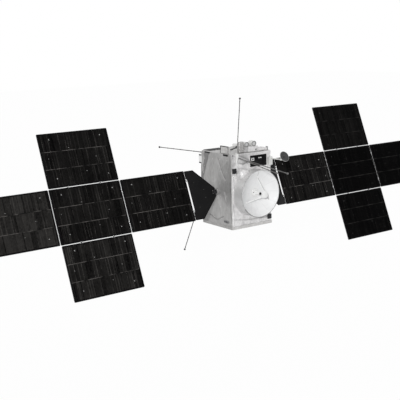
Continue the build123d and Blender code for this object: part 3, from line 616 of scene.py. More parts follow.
def bell(distance, reach):
    return math.exp(-((distance / reach) ** 2))


def body_relief(p):
    """How far the blanket stands off the body box at a point of the box."""
    front = max(0.0, 1.0 - (p.y - BODY_LOW.y) / FRONT_REACH)
    height = (RELIEF + FRONT_RELIEF * front) * crumple(p, 0.55, 1) - SINK - FRONT_SINK * front
    for axis, sign, depth, width, line in CREASES:
        if abs(p[axis] - BODY[sign > 0][axis]) < 1e-4:
            height -= depth * bell(off_line(*on_wall(p, axis), line), width)
    return height


def body_stain_and_shade(p, side):
    """How much stains and painted shade darken the blanket of one side at a point: at its marks, and as
    painted shade along its folds.
    """
    a, b = on_wall(p, side[0])
    shade = sum(m * bell(math.hypot(a - u, b - w), r) for *on, u, w, r, m in STAINS_AND_SHADE if tuple(on) == side)
    for axis, sign, _, width, line in CREASES:
        if (axis, sign) == side:
            shade += FOLD_SHADE * bell(off_line(a, b, line) * 1.5, width)
    return min(STAIN_AND_SHADE_LIMIT, shade)


def skin(p, lift):
    """The point of the blanket over a point of the body box, lifted off by a little."""
    core = core_point(p, BODY_LOW, BODY_HIGH, ROUND)
    return core + (p - core).normalized() * (ROUND + body_relief(p) + lift)


# %% Blankets of the six sides
WELL_R = 0.335
recess_low, recess_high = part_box("recess_liner")
RECESS = (recess_low.x, recess_high.x, recess_low.z, recess_high.z)
# name, node, axis, sign, material, slot, openings
SIDES = (
    ("left_blanket", "left_wall", 0, -1, SIDE_FOIL, "side_foil", ()),
    ("right_blanket", "right_wall", 0, 1, SIDE_FOIL, "side_foil", ()),
    ("front_blanket", "front_wall", 1, -1, FRONT_FOIL, "front_foil", (RECESS,)),
    ("rear_blanket", "rear_wall", 1, 1, SIDE_FOIL, "side_foil", ()),
    ("roof_blanket", "top_deck", 2, 1, ROOF_FOIL, "deck_foil", ()),
    ("base_blanket", "bottom_deck", 2, -1, ROOF_FOIL, "deck_foil", ()),
)


def around_well(verts, faces):
    """Opens the base blanket around the well of the engine and draws its rim to a circle."""
    kept = [f for f in faces if Vector(sum((verts[i] for i in f), Vector()) / 4).xy.length > WELL_R]
    rim = {i for f in faces if f not in kept for i in f} & {i for f in kept for i in f}
    for i in rim:
        verts[i] = Vector((*(verts[i].xy.normalized() * WELL_R), BODY_LOW.z))
    return verts, kept


for name, node, axis, sign, material, slot, gaps in SIDES:
    verts, faces = box_side(BODY_LOW, BODY_HIGH, axis, sign, GRID, ROUND, body_relief, gaps)
    if node == "bottom_deck":
        verts, faces = around_well(verts, faces)
    blanket = Batch((verts, faces)).piece(name, "bus", material, slot, smooth=40)
    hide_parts(node)
    stain_and_shade(blanket, [body_stain_and_shade(v, (axis, sign)) for v in verts])
    print(name, len(faces), "faces")

# %% [markdown]
# ## Tapes, skirt and loose corner of the blankets
#
# Pale tape closes the blankets along the four upright corners. A skirt hangs around
# the foot of the body. At the rear left corner a sheet stands off as a loose flap, and
# its foil is darker than the wall's as painted shade. The tapes and buttons follow the
# relief of the blankets, because they use the same skin.

# %% Corner tapes
TAPE = 0.040
TAPE_LOW, TAPE_HIGH = 0.70, 2.36
tapes = Batch()
for sx in (-1, 1):
    for sy in (-1, 1):
        edge = Vector((BODY[sx > 0].x, BODY[sy > 0].y, 0))
        section = [edge - Vector((sx * TAPE * k / 5, 0, 0)) for k in (5, 4, 3, 2, 1)]
        section += [edge - Vector((0, sy * TAPE * k / 5, 0)) for k in range(6)]
        rows = [
            [skin(q + Vector((0, 0, z)), 0.003) for q in section]
            for z in ticks(TAPE_LOW, TAPE_HIGH, GRID)
        ]
        tapes.add(net(rows[::-1] if sx * sy > 0 else rows))
tapes.piece("corner_tapes", "bus", TAPE_GREY, "pale_metal", smooth=50)
print("four corner tapes")

# %% Buttons
DISH_MIDDLE, DISH_REACH, FRONT_TOP = 1.795, 1.25, 2.3
buttons = Batch()
button = turned(((0.017, 0.0), (0.017, 0.003), (0.010, 0.006), (0.0, 0.006)), 12)
rng = random.Random(5)
for axis, sign in ((0, -1), (0, 1), (1, -1), (1, 1)):
    for a in (-0.85, -0.28, 0.28, 0.85):
        for z in ticks(0.5, 3.4, 0.58):
            p = Vector((0, 0, z + rng.uniform(-0.05, 0.05)))
            p[axis] = BODY[sign > 0][axis]
            p[1 - axis] = a + rng.uniform(-0.04, 0.04)
            behind_dish = math.hypot(p.x, p.z - DISH_MIDDLE) < DISH_REACH
            if (axis, sign) == (1, -1) and (behind_dish or z > FRONT_TOP):
                continue
            normal = Vector((0, 0, 0))
            normal[axis] = sign
            buttons.add(button, at(skin(p, 0.0), normal))
buttons.piece("blanket_buttons", "bus", PALE_METAL, "pale_metal", smooth=40)
print(len(buttons.faces) // len(button[1]), "buttons")

# %% Skirt
low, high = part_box("base_skirt")
SKIRT_ROUND = 0.03
xs, ys = ticks(low.x, high.x, GRID), ticks(low.y, high.y, GRID)
path = [(x, low.y) for x in xs] + [(high.x, y) for y in ys[1:]]
path += [(x, high.y) for x in xs[-2::-1]] + [(low.x, y) for y in ys[-2:0:-1]]
# height, how far the row lies inside the outer face
HEM = (
    (0.214, 0.017), (0.208, 0.004), (0.19, 0.0), (0.16, 0.0), (0.13, 0.002),
    (0.10, 0.0), (0.075, 0.002), (0.061, 0.004), (0.060, 0.014), (0.112, 0.018),
)
rows = []
for z, inset in HEM:
    row = []
    for x, y in path:
        core = core_point((x, y, z), low, high, SKIRT_ROUND)
        core.z = z
        push = 0.006 * crumple((x, y, z * 0.5), 0.22, 6) - 0.003
        row.append(core + (Vector((x, y, z)) - core).normalized() * (SKIRT_ROUND - inset + push))
    rows.append(row)
skirt = Batch(net(rows[::-1], closed=True))
skirt_foil = skirt.piece("skirt_foil", "bus", ROOF_FOIL, "side_foil", smooth=40)
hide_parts("base_skirt")
stain_and_shade(skirt_foil, [0.10 if v.y < BODY_LOW.y else 0.50 for v in skirt.verts])
print("skirt", len(skirt.faces), "faces")

# %% Loose corner
# height, where the flap leaves the wall (y), where it stands off (y)
FLAP = (
    (3.70, 0.55, 1.222), (3.40, 0.68, 1.245), (3.05, 0.83, 1.275), (2.43, 1.07, 1.318),
    (1.60, 1.10, 1.300), (0.90, 1.12, 1.270), (0.26, 1.14, 1.238),
)
FLAP_STEPS = 12
rows = []
for (z0, a0, b0), (z1, a1, b1) in zip(FLAP, FLAP[1:]):
    n = max(2, round((z0 - z1) / 0.05))
    for k in range(n):
        t = k / n
        z, a, b = z0 + (z1 - z0) * t, a0 + (a1 - a0) * t, b0 + (b1 - b0) * t
        row = []
        for j in range(FLAP_STEPS + 1):
            s = j / FLAP_STEPS
            p = Vector((BODY_LOW.x - 0.006 + 0.018 * s * s, a + (b - a) * s, z))
            row.append(p + Vector((0.010 * crumple(p, 0.3, 8) * math.sin(math.pi * s), 0, 0)))
        row.append(Vector((BODY_LOW.x + 0.040, b - 0.006, z)))
        row.append(Vector((BODY_LOW.x + 0.042, BODY_HIGH.y - 0.02, z)))
        rows.append(row)
flap = Batch(net(rows[::-1]))
flap.piece("loose_flap", "bus", FLAP_FOIL, "side_foil", smooth=40)
print("flap", len(flap.faces), "faces")

# %% [markdown]
# ## Foil over the roof boxes, the drum and the bulge
#
# The boxes on the roof are wrapped the same way, with smaller pillows. The drum
# behind the dish is a taut sheet, so its relief is low and pulled along the axis.

# %% Wrapped roof boxes
DARKENING_LINE_X = -0.12
WRAP_GRID = 0.022
# name, node, rounding, size of the folds, relief, material, darkening left of the line, darkening right of
# it
WRAPS = (
    ("tall_block_foil", "tall_block", 0.055, 0.17, 0.009, BENCH_FOIL, 0.42, 0.0),
    ("bench_foil_wrap", "bench", 0.018, 0.14, 0.006, FRONT_FOIL, 0.50, 0.10),
    ("low_box_foil", "low_box", 0.018, 0.16, 0.006, FRONT_FOIL, 0.0, 0.0),
    ("edge_box_foil", "edge_box", 0.02, 0.15, 0.006, BENCH_FOIL, 0.0, 0.0),
)


def box_wrap(node, round_r, size, depth):
    """Foil around all six sides of a CAD box."""
    def relief(p):
        return -depth * 0.6 + depth * crumple(p, size, 2)

    low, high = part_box(node)
    sides = [(axis, sign) for axis in range(3) for sign in (-1, 1)]
    return Batch(*(box_side(low, high, *side, WRAP_GRID, round_r, relief) for side in sides))


for name, node, round_r, size, depth, material, left, right in WRAPS:
    wrap = box_wrap(node, round_r, size, depth).piece(name, "bus", material, "bench_foil", smooth=40)
    bm = bmesh.new()
    bm.from_mesh(wrap.data)
    bmesh.ops.remove_doubles(bm, verts=bm.verts, dist=1e-5)
    bm.to_mesh(wrap.data)
    bm.free()
    stain_and_shade(wrap, [left if v.co.x < DARKENING_LINE_X else right for v in wrap.data.vertices])
    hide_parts(node)
    print(name, len(wrap.data.polygons), "faces")

# %% Drum blanket
drum_low, drum_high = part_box("dish_drum")
DISH_Z = (drum_low.z + drum_high.z) / 2
DRUM_R = drum_high.x
AROUND, DEEP = 300, 26
rows = []
for j in range(DEEP + 1):
    y = drum_low.y + (drum_high.y - drum_low.y) * j / DEEP
    calm = min(1.0, min(j, DEEP - j) / 3.0)
    row = []
    for out in spokes(1, AROUND):
        flat = (DRUM_R * out.x, y * 0.45, DRUM_R * out.z)
        r = DRUM_R - 0.004 + calm * 0.007 * crumple(flat, 0.24, 3)
        row.append(Vector((0, y, DISH_Z)) + out * r)
    rows.append(row)
drum = Batch(net(rows, closed=True))
drum_blanket = drum.piece("drum_blanket", "bus", DRUM_FOIL, "drum_foil", smooth=40)
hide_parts("dish_drum")
print("drum blanket", len(drum.faces), "faces")

# %% Foil bulge
low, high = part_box("foil_bulge")
BULGE_R = 0.360
BULGE_AT = Vector((low.x + BULGE_R, high.y, high.z - BULGE_R))
BULGE_OUT = high.y - low.y
RINGS, STEPS = 22, 72
rows = []
for i in range(RINGS + 1):
    t = i / RINGS
    angle = min(t * 1.25, 1.0) * math.pi / 2
    r = BULGE_R * (1.0 - 0.14 * (1 - math.cos(angle))) * math.sin(max(1e-3, 1 - t) * math.pi / 2) ** 0.45
    stand = BULGE_AT - Vector((0, BULGE_OUT * math.sin(t * math.pi / 2) ** 0.8, 0))
    row = []
    for out in spokes(1, STEPS):
        p = stand + out * r
        push = (0.014 * crumple(p, 0.16, 4) - 0.007) * min(1.0, 4 * t)
        row.append(p + (p - BULGE_AT - Vector((0, 0.1, 0))).normalized() * push)
    rows.append(row)
verts, faces = net(rows, closed=True)
clear = [math.hypot(v.x, v.z - DISH_Z) > DRUM_R for v in verts]
faces = [face[::-1] for face in faces if any(clear[v] for v in face)]
bulge = Batch((verts, faces)).piece("bulge_foil", "bus", FRONT_FOIL, "front_foil", smooth=40)
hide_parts("foil_bulge")
stain_and_shade(bulge, [0.18] * len(verts))
print("bulge", len(faces), "faces")

# %% [markdown]
# ## Big dish
#
# The reflector keeps its CAD shape and gets white thermal paint, with faint radial
# seams between its petals. The seams come from the angle about the dish axis. The
# paint turns whiter towards the top of the bowl, which is painted light.

# %% Dish paint
DISH_WHITE, tree, shader = finish("dish_white", 0.0, 0.35)
parts = add_node(tree, "SeparateXYZ", {0: add_node(tree, "TexCoord")["Object"]})
high_z = math_node(tree, "SUBTRACT", parts["Z"], DISH_Z)
angle = math_node(tree, "ARCTAN2", parts["X"], high_z)
petal = math_node(tree, "PINGPONG", angle, math.pi / 12)
seam = math_node(tree, "LESS_THAN", petal, 0.006)
grime = put(tree, GRIME, Scale=1.4, Contrast=1.8)["Mask"]
paint = two_tones(tree, grime, grey(0.68), grey(0.80))
# Whiter towards the top of the bowl: painted light.
top_painted_light = two_tones(tree, math_node(tree, "MULTIPLY", high_z, 0.50), paint, grey(0.93))
lined = two_tones(tree, math_node(tree, "MULTIPLY", seam, 0.35), top_painted_light, grey(0.42))
coat(tree, shader, lined, grime, 0.55, 0.40)
bumped(tree, shader, put(tree, GRAIN, Scale=30.0)["Height"], 0.10, 0.004)
dress(DISH_WHITE, "dish_reflector")
dress(FEED_WHITE, "dish_feed", "subreflector")
dress(STRUT_WHITE, "dish_tripod")
dress(BARE_METAL, "dish_hub")
print("dish painted, axis at z", round(DISH_Z, 3))

# %% Rim band and clips of the dish
RIM_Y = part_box("dish_reflector")[0].y
# distance off the drum, depth behind the rim
BAND = ((-0.022, 0.004), (-0.022, -0.003), (0.004, -0.003), (0.004, 0.034), (0.0, 0.034))
# The lower arc is darker grey: painted shadow along the foot of the rim.
# name, first degree, last degree, material
ARCS = (("dish_rim_band", -28, 212, SLEEVE_GREY), ("dish_rim_painted_shadow", 212, 332, RIM_GREY))
CLIP_COUNT = 24


def on_axis(y):
    return Vector((0, y, DISH_Z))


def outward(degrees):
    """The direction away from the dish axis at an angle."""
    return Vector((math.cos(math.radians(degrees)), 0, math.sin(math.radians(degrees))))


for name, first, last, material in ARCS:
    rows = [
        [on_axis(RIM_Y + y) + outward(degrees) * (DRUM_R + r) for r, y in BAND]
        for degrees in range(first, last + 1, 2)
    ]
    Batch(net(rows)).piece(name, "bus", material, "bare_metal", smooth=30)
clips = Batch()
clip = chamfered((0.05, 0.028, 0.014), 0.004)
for out in spokes(1, CLIP_COUNT, 0.5):
    clips.add(clip, at(on_axis(RIM_Y + 0.045) + out * (DRUM_R + 0.004), out, (-out.z, 0, out.x)))
clips.piece("dish_rim_clips", "bus", BARE_METAL, "bare_metal", smooth=30)
print("rim band and", CLIP_COUNT, "clips")

# %% Feed horn
BOWL_R, BOWL_DEPTH, VERTEX_R = DRUM_R - 0.030, 0.450, 0.200
BOWL_Y = RIM_Y + BOWL_DEPTH
PLATE_Y = BOWL_Y - 0.030
HORN_Y = PLATE_Y - 0.370
THROAT = ((0.0700, -0.0015), (0.0585, -0.0015), (0.0585, 0.0), (0.0, 0.1780))
PLUG = ((0.026, 0.0), (0.022, 0.006), (0.0, 0.006))
horn = Batch()
# The throat is black paint: painted shade deep inside the horn.
horn.add(turned(THROAT, 36), at(on_axis(HORN_Y), TO_REAR))
horn.add(turned(PLUG, 20), at((-0.118, PLATE_Y, DISH_Z + 0.02), TO_FRONT))
horn.piece("horn_throat", "bus", BLACK_PAINT, "black_paint", smooth=40)
print("horn at y", round(HORN_Y, 3))

# %% Struts, a grey strip on the bowl, and fixings
FOOT_R, HEAD_R = 0.800, 0.150
HEAD_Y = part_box("dish_tripod")[0].y
SLEEVE_R = 0.0206
STRIP = ((-0.7, 0.0), (-0.5, 0.006), (0.5, 0.006), (0.7, 0.0))
LIT_STRUT = 210
BEAD = ((0.190, 0.0), (0.193, 0.004), (0.204, 0.004), (0.207, 0.0))
bolt = turned(((0.010, 0.0), (0.010, 0.004), (0.007, 0.007), (0.0, 0.007)), 6)


def bowl(r, degrees, lift=0.0):
    """A point of the reflector at a radius and an angle, lifted to the front."""
    deep = BOWL_DEPTH * (max(0.0, r - VERTEX_R) / (BOWL_R - VERTEX_R)) ** 2
    return on_axis(BOWL_Y - deep - lift) + outward(degrees) * r


def strut(degrees):
    """The foot of a strut on the reflector and its run to the head."""
    foot = bowl(FOOT_R, degrees)
    return foot, on_axis(HEAD_Y + 0.0075) + outward(degrees) * HEAD_R - foot


fixings, sleeves, cap = Batch(), Batch(), Batch()
for out in spokes(1, 12, 0.5):
    fixings.add(bolt, at(on_axis(PLATE_Y) + out * 0.165, TO_FRONT))
fixings.add(turned(BEAD, 72), at(on_axis(BOWL_Y), TO_FRONT))
ring = hoop(SLEEVE_R, 0.029, 0.035, 0.003, 20)
for degrees in (90, LIT_STRUT, 330):
    foot, along = strut(degrees)
    for t in (0.05, 0.48, 0.90):
        fixings.add(ring, at(foot + along * t, along))
    # Grey sleeves on the struts at 90 and 330 degrees are painted shade on the struts that show shaded; the
    # lit strut stays white.
    for t0, t1 in ((0.09, 0.47), (0.53, 0.89)) if degrees != LIT_STRUT else ():
        sleeve = hoop(SLEEVE_R, 0.0225, along.length * (t1 - t0) + 0.004, 0.004, 18)
        sleeves.add(sleeve, at(foot + along * t0, along))
    for side in (-1, 1):
        fixings.add(bolt, at(bowl(FOOT_R + side * 0.040, degrees, 0.009), TO_FRONT))
# A grey strip on the bowl runs from near the foot of the top strut out towards the rim.
bowl_strip = [(0.835 + 0.280 * k / 14, 90.0 + 5.0 * k / 14) for k in range(15)]
sleeves.add(net([[bowl(r, degrees + d, h) for d, h in STRIP] for r, degrees in bowl_strip]))
sleeves.piece("strut_sleeves", "bus", SLEEVE_GREY, "bare_metal", smooth=40)
fixings.piece("dish_fixings", "bus", PALE_METAL, "pale_metal", smooth=35)
lid = ((0.0, -0.005), (0.150, -0.005), (0.168, 0.001), (0.168, 0.014), (0.163, 0.016))
cap.add(turned(lid, 48), at(on_axis(HEAD_Y), TO_REAR))
foot, along = strut(90)
flat_side = at(foot + along * 0.5 - Vector((0.030, 0, 0)), Vector((1, 0, 0)).cross(along))
cap.add(chamfered((0.056, along.length * 0.82, 0.008), 0.003), flat_side)
cap.piece("tripod_cap", "bus", STRUT_WHITE, "strut_white", smooth=30)
print("tripod head at y", round(HEAD_Y, 3))

# %% [markdown]
# ## Solar panels
#
# Each panel is a thin carbon board. On its sun side, three bands of dark cells are
# laid in strings. Every cell is a small raised tile with its own tone, so the panel
# looks laid by hand. The tone is painted reflection with random variation: each panel
# has a level for how bright its cells show under the lamp, and some columns get painted
# highlights or shade. The tone is a face attribute that the cell finish reads.

# %% Cell, board and line finishes
CELLS, tree, shader = finish("solar_cell", 0.0, 0.012)
tone = stored(tree, "cell_tone")
dust = spread(tree, put(tree, GRIME, Scale=1.1, Contrast=2.4)["Mask"], 0.65, 1.35)
dusted = math_node(tree, "MULTIPLY", tone, dust, clamp=True)
glint = two_tones(tree, dusted, (0.0003, 0.0003, 0.0004), (0.0305, 0.0290, 0.0275))
coat(tree, shader, glint, tone, 0.30, 0.48)


def board(name, specular, level):
    """Woven carbon board with blotches of wear."""
    def toned(*shares):
        return tuple(share * level for share in shares)

    mat, tree, shader = finish(name, 0.0, specular)
    weave = put(tree, WEAVE, Scale=14.0)
    grime = put(tree, GRIME, Scale=1.8, Contrast=2.4)["Mask"]
    cloth = two_tones(tree, weave["Mask"], toned(0.40, 0.40, 0.44), toned(0.85, 0.85, 0.90))
    wear_and_crease_shade = two_tones(tree, spread(tree, grime, 0.0, 0.5), cloth, toned(1.25, 1.22, 1.20))
    coat(tree, shader, wear_and_crease_shade, grime, 0.42, 0.62)
    bumped(tree, shader, weave["Height"], 0.25, 0.003)
    return mat


BOARD = board("panel_board", 0.02, 0.006)
# The two yokes get copies of one board at two levels, the right one lighter: painted light for how each yoke
# shows under the lamp.
YOKE_BOARDS = {"left": board("yoke_board", 0.08, 0.010), "right": board("yoke_board_right", 0.08, 0.022)}
# The dark string line and dark hold-down finishes are shaded copies of the grey and metal ones, as painted
# shade on panels that show dim.
LINE_GREY = painted("string_line", grey(0.004), (0.115, 0.108, 0.102), 0.50, 30.0, 0.0, 0.05, 6.0)
LINE_DARK = painted("string_line_dark", grey(0.002), (0.034, 0.032, 0.030), 0.55, 30.0, 0.0, 0.02, 6.0)
HOLD_METAL = painted("hold_down_metal", grey(0.14), (0.50, 0.50, 0.49), 0.42, 80.0, 0.3)
HOLD_DARK = painted("hold_down_dark", grey(0.006), (0.070, 0.070, 0.068), 0.50, 80.0, 0.0, 0.05, 5.0)
EDGE_TAPE = painted("panel_edge_tape", grey(0.010), (0.032, 0.031, 0.031), 0.50, 30.0, 0.0, 0.05)
print("cell, board and line finishes made")

# %% Wing frames and panel table
TILT = math.radians(22.3)
AXIS_Z = (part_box("right_hub")[0].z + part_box("right_hub")[1].z) / 2
CELL_NORMAL = Vector((0, -math.cos(TILT), math.sin(TILT)))
WINGS = {}
for wing, out in (("left", -1), ("right", 1)):
    x = Vector((out, 0, 0))
    turn = Matrix((x, CELL_NORMAL.cross(x), CELL_NORMAL)).transposed().to_4x4()
    WINGS[wing] = Matrix.Translation((0, 0, AXIS_Z)) @ turn
PANEL_L, PANEL_W, PANEL_T = 3.487, 2.447, 0.030
TOP = PANEL_T / 2
# name, centre along the wing, centre across, length, width,
# hinged edges (0 for an end, 1 for a side, and its sign)
PANELS = (
    ("inner_panel", 4.640, 0.0, PANEL_L, PANEL_W, ((0, -1), (0, 1))),
    ("centre_panel", 8.202, 0.0, PANEL_L, PANEL_W, ((0, -1), (0, 1), (1, -1), (1, 1))),
    ("outer_panel", 11.764, 0.0, PANEL_L, PANEL_W, ((0, -1),)),
    ("side_panel_a", 8.202, 2.522, PANEL_L - 0.030, PANEL_W, ((1, -1),)),
    ("side_panel_b", 8.202, -2.522, PANEL_L - 0.030, PANEL_W, ((1, 1),)),
)
# How bright the cells of each panel show under the lamp, in the order of the table
PANEL_TONES = {"left": (0.24, 0.28, 0.75, 0.44, 0.24), "right": (0.27, 0.03, 0.02, 0.13, 0.04)}
DIM = 0.2
print(len(PANELS) * 2, "panels at z", round(AXIS_Z, 3))

# %% Cells
BANDS = 3
CELLS_ACROSS = 10
BAND_GAP = 0.034
EDGE = 0.048
CELL_GAP = 0.0022
CELL_PITCH = 0.0425
CELL_H = 0.0018
CELL_INSET = 0.0008


def cell_layout(length, width, level, seed):
    """Cells of one panel as (x0, x1, y0, y1, tone), and the string lines between groups."""
    rng = random.Random(seed)
    columns = int((length - 2 * EDGE) / CELL_PITCH)
    start = -columns * CELL_PITCH / 2
    band_w = (width - 2 * EDGE - (BANDS - 1) * BAND_GAP) / BANDS
    tile = band_w / CELLS_ACROSS
    cells, lines = [], []
    for band in range(BANDS):
        y0 = -width / 2 + EDGE + band * (band_w + BAND_GAP)
        left = 0
        for c in range(columns):
            x0 = start + c * CELL_PITCH
            column_glint = 1.0
            if left == 0:
                left = rng.choice((2, 3, 3, 4, 5, 7))
                group_tone = level * rng.choice((0.55, 0.75, 0.9, 1.0, 1.2))
                if c and rng.random() < 0.55:
                    lines.append((x0, y0, y0 + band_w))
                # Some single columns are much brighter or darker than their group: painted highlights and
                # painted shade on the cells.
                column_glint = rng.choice((0.3, 1.0, 1.7, 2.0, 2.4))
            left -= 1
            for r in range(CELLS_ACROSS):
                shade = min(1.0, max(0.0, group_tone * column_glint + level * rng.gauss(0, 0.16)))
                y = y0 + r * tile
                cells.append((x0, x0 + CELL_PITCH - CELL_GAP, y, y + tile - CELL_GAP, shade))
    return cells, lines


def cell_tiles(body, place, cells):
    """Every cell as a low tile whose top is a little smaller than its foot."""
    batch = Batch()
    shades = []
    for x0, x1, y0, y1, shade in cells:
        n = len(batch.verts)
        for inset, height in ((0.0, TOP), (CELL_INSET, TOP + CELL_H)):
            a, b, c, d = x0 + inset, x1 - inset, y0 + inset, y1 - inset
            batch.verts += [place @ Vector((x, y, height)) for x, y in ((a, c), (b, c), (b, d), (a, d))]
        batch.faces.append([n + 4, n + 5, n + 6, n + 7])
        batch.faces += [[n + k, n + (k + 1) % 4, n + 4 + (k + 1) % 4, n + 4 + k] for k in range(4)]
        shades += [shade] * 5
    tiles = batch.piece(f"{body}_cells", body, CELLS, "panel_black")
    tiles.data.attributes.new("cell_tone", "FLOAT", "FACE").data.foreach_set("value", shades)


# %% String lines, hold-downs, edge rails and harness of a panel
HINGE_AT = {0: 0.758, 1: 0.809}
HINGE_CLEAR = 0.052
RAIL_OUT = 0.0225
BIG_CUP = ((0.024, 0.0), (0.024, 0.0025), (0.018, 0.0036), (0.010, 0.0036), (0.008, 0.0012), (0.0, 0.0012))
SMALL_CUP = ((0.015, 0.0), (0.015, 0.0024), (0.011, 0.0034), (0.006, 0.0034), (0.004, 0.0015), (0.0, 0.0015))
# shape, places as shares of the length and the width
HOLDS = (
    (turned(BIG_CUP, 20), ((-0.38, -0.39), (0.35, -0.39), (-0.38, 0.36), (0.355, 0.34))),
    (turned(SMALL_CUP, 16), ((-0.26, 0.01), (-0.08, 0.26), (0.41, -0.04), (0.10, -0.21))),
)


def string_lines(body, place, length, width, lines, material):
    wires = Batch()
    for band in (-1, 1):
        y = band * (width - 2 * EDGE + BAND_GAP) / 6
        wires.block((length - 2 * EDGE, 0.020, 0.0020), 0.0006, (0, y, TOP + 0.001), place)
    for x, y0, y1 in lines:
        size = (0.0045, (y1 - y0) * 0.98, 0.0024)
        wires.block(size, 0.0006, (x - CELL_GAP / 2, (y0 + y1) / 2, TOP + 0.0012), place)
    wires.piece(f"{body}_lines", body, material, "panel_black")


def hold_downs(body, place, length, width, material):
    holds = Batch()
    for cup, places in HOLDS:
        for fx, fy in places:
            holds.add(cup, place @ Matrix.Translation((fx * length, fy * width, TOP)))
    holds.piece(f"{body}_hold_downs", body, material, "bare_metal", smooth=35)


def edge_rails(body, place, length, width, hinged):
    """Rails around a panel, open at its hinges."""
    rail = Batch()
    for k, (run, across) in enumerate(((width, length), (length, width))):
        for side in (-1, 1):
            stops = [-run / 2, run / 2]
            if (k, side) in hinged:
                stops = [-run / 2, -HINGE_AT[k] - HINGE_CLEAR, HINGE_CLEAR - HINGE_AT[k]]
                stops += [-s for s in reversed(stops)]
            for a, b in zip(stops[0::2], stops[1::2]):
                middle = [(a + b) / 2, side * (across / 2 + RAIL_OUT / 2 - 0.001)]
                size = [b - a, RAIL_OUT + 0.002]
                if k == 0:
                    middle.reverse()
                    size.reverse()
                rail.block((*size, PANEL_T - 0.004), 0.002, (*middle, 0), place)
    rail.piece(f"{body}_edge_tape", body, EDGE_TAPE, "panel_black")


def rear_harness(body, place, length, width):
    harness = Batch()
    for y in (-0.30, 0.02, 0.31):
        harness.block((length - 0.16, 0.034, 0.0026), 0.0008, (0, y * width, -TOP - 0.0013), place)
    for x in (-0.36, -0.12, 0.14, 0.37):
        harness.block((0.022, width * 0.80, 0.0022), 0.0008, (x * length, 0, -TOP - 0.0011), place)
        harness.block((0.120, 0.090, 0.0034), 0.001, (x * length, 0.02 * width, -TOP - 0.0017), place)
    harness.piece(f"{body}_harness", body, BOOM_GREY, "pale_metal")


# %% Yoke and drive of a wing
DRIVE_X, DRIVE_R = 1.272, 0.169
YOKE_EDGE = 2.7815
# size, edge cut, middle along, across and up, on each half of a yoke
YOKE_END = ((0.076, 0.400, 0.022), 0.004, YOKE_EDGE + 0.034, 1.018, 0.0)
YOKE_STRIP = ((0.145, 0.063, 0.004), 0.001, 1.4475, 0.1135, 0.0165)
BOSS = turned(((0.022, 0.0), (0.022, 0.002), (0.014, 0.0034), (0.0, 0.0034)), 16)
BOSSES_AT = ((1.98, 0.20), (1.98, -0.20), (2.45, 0.62), (2.45, -0.62), (2.68, 0.0))


def yoke_trim(wing, basis):
    """Finishes of a yoke and its drive, with bosses, end plates, strips and bolts."""
    yoke = f"{wing}_yoke"
    dress(YOKE_BOARDS[wing], yoke)
    dress(BLACK_PAINT, f"{wing}_hub")
    dress(SIDE_FOIL, f"{wing}_drive_housing")
    bosses, ends, strips, drive = (Batch() for _ in range(4))
    for x, y in BOSSES_AT:
        for face in (-1, 1):
            bosses.add(BOSS, basis @ at((x, y, face * TOP), (0, 0, face)))
    for side in (-1, 1):
        for batch, (size, cut, x, y, z) in ((ends, YOKE_END), (strips, YOKE_STRIP)):
            batch.block(size, cut, (x, side * y, z), basis)
    for out in spokes(0, 16):
        drive.add(bolt, at(Vector((basis.col[0][0] * DRIVE_X, 0, AXIS_Z)) + out * DRIVE_R, out))
    bosses.piece(f"{yoke}_bosses", yoke, HOLD_DARK, "bare_metal", smooth=35)
    ends.piece(f"{yoke}_ends", yoke, YOKE_BOARDS[wing], "panel_black")
    strips.piece(f"{yoke}_strips", yoke, YOKE_BOARDS[wing], "panel_black")
    drive.piece(f"{wing}_drive_bolts", "bus", BARE_METAL, "bare_metal", smooth=35)


# %% Lay every panel and yoke
for w, (wing, basis) in enumerate(WINGS.items()):
    for p, (panel, cx, cy, length, width, hinged) in enumerate(PANELS):
        body = f"{wing}_{panel}"
        panel_tone = PANEL_TONES[wing][p]
        # Panels that show dim get the shaded copies of the line and hold-down finishes: painted shade.
        line, hold = (LINE_DARK, HOLD_DARK) if panel_tone < DIM else (LINE_GREY, HOLD_METAL)
        place = basis @ Matrix.Translation((cx, cy, 0))
        cells, lines = cell_layout(length, width, panel_tone, 100 * w + p)
        cell_tiles(body, place, cells)
        string_lines(body, place, length, width, lines, line)
        hold_downs(body, place, length, width, hold)
        edge_rails(body, place, length, width, hinged)
        rear_harness(body, place, length, width)
        dress(BOARD, body)
    yoke_trim(wing, basis)
print("laid", len(WINGS) * len(PANELS), "panels with", len(cells), "cells each, and two yokes")

# %% [markdown]
# ## Finishes of the other CAD parts
#
# Small metal and black parts keep their CAD shapes and get the matching finishes.

# %% Dress the rest
dress(BLACK_PAINT, "recess_liner", "black_sensors", "wall_covers", "roof_plate", "recess_sensors")
dress(PALE_METAL, "small_dish_arm", "telescopes")
dress(STRUT_WHITE, "edge_fins")
dress(BARE_METAL, "launch_ring", "core_block", "edge_post", "boom_brackets", "small_dish_head", "vent_plate")
dress(ENGINE_METAL, "main_engine", "thruster_pods")
dress(SLEEVE_GREY, "rear_radiator")
dress(SMALL_GREY, "small_dish")
dress(BOOM_DARK, "rear_boom", "down_boom", "up_boom")
dress(BOOM_GREY, "front_boom_a", "front_boom_b")
print("the other CAD parts have their finishes")

# %% [markdown]
# ## Small parts on the body
#
# What is left are small things that tell the eye how big the probe is: collars on the
# booms, lenses, louvres, tiles on the radiator, rivets and bolts.

# %% Boom collars and tips
TUBE_R = 0.0205
COLLARS = 7
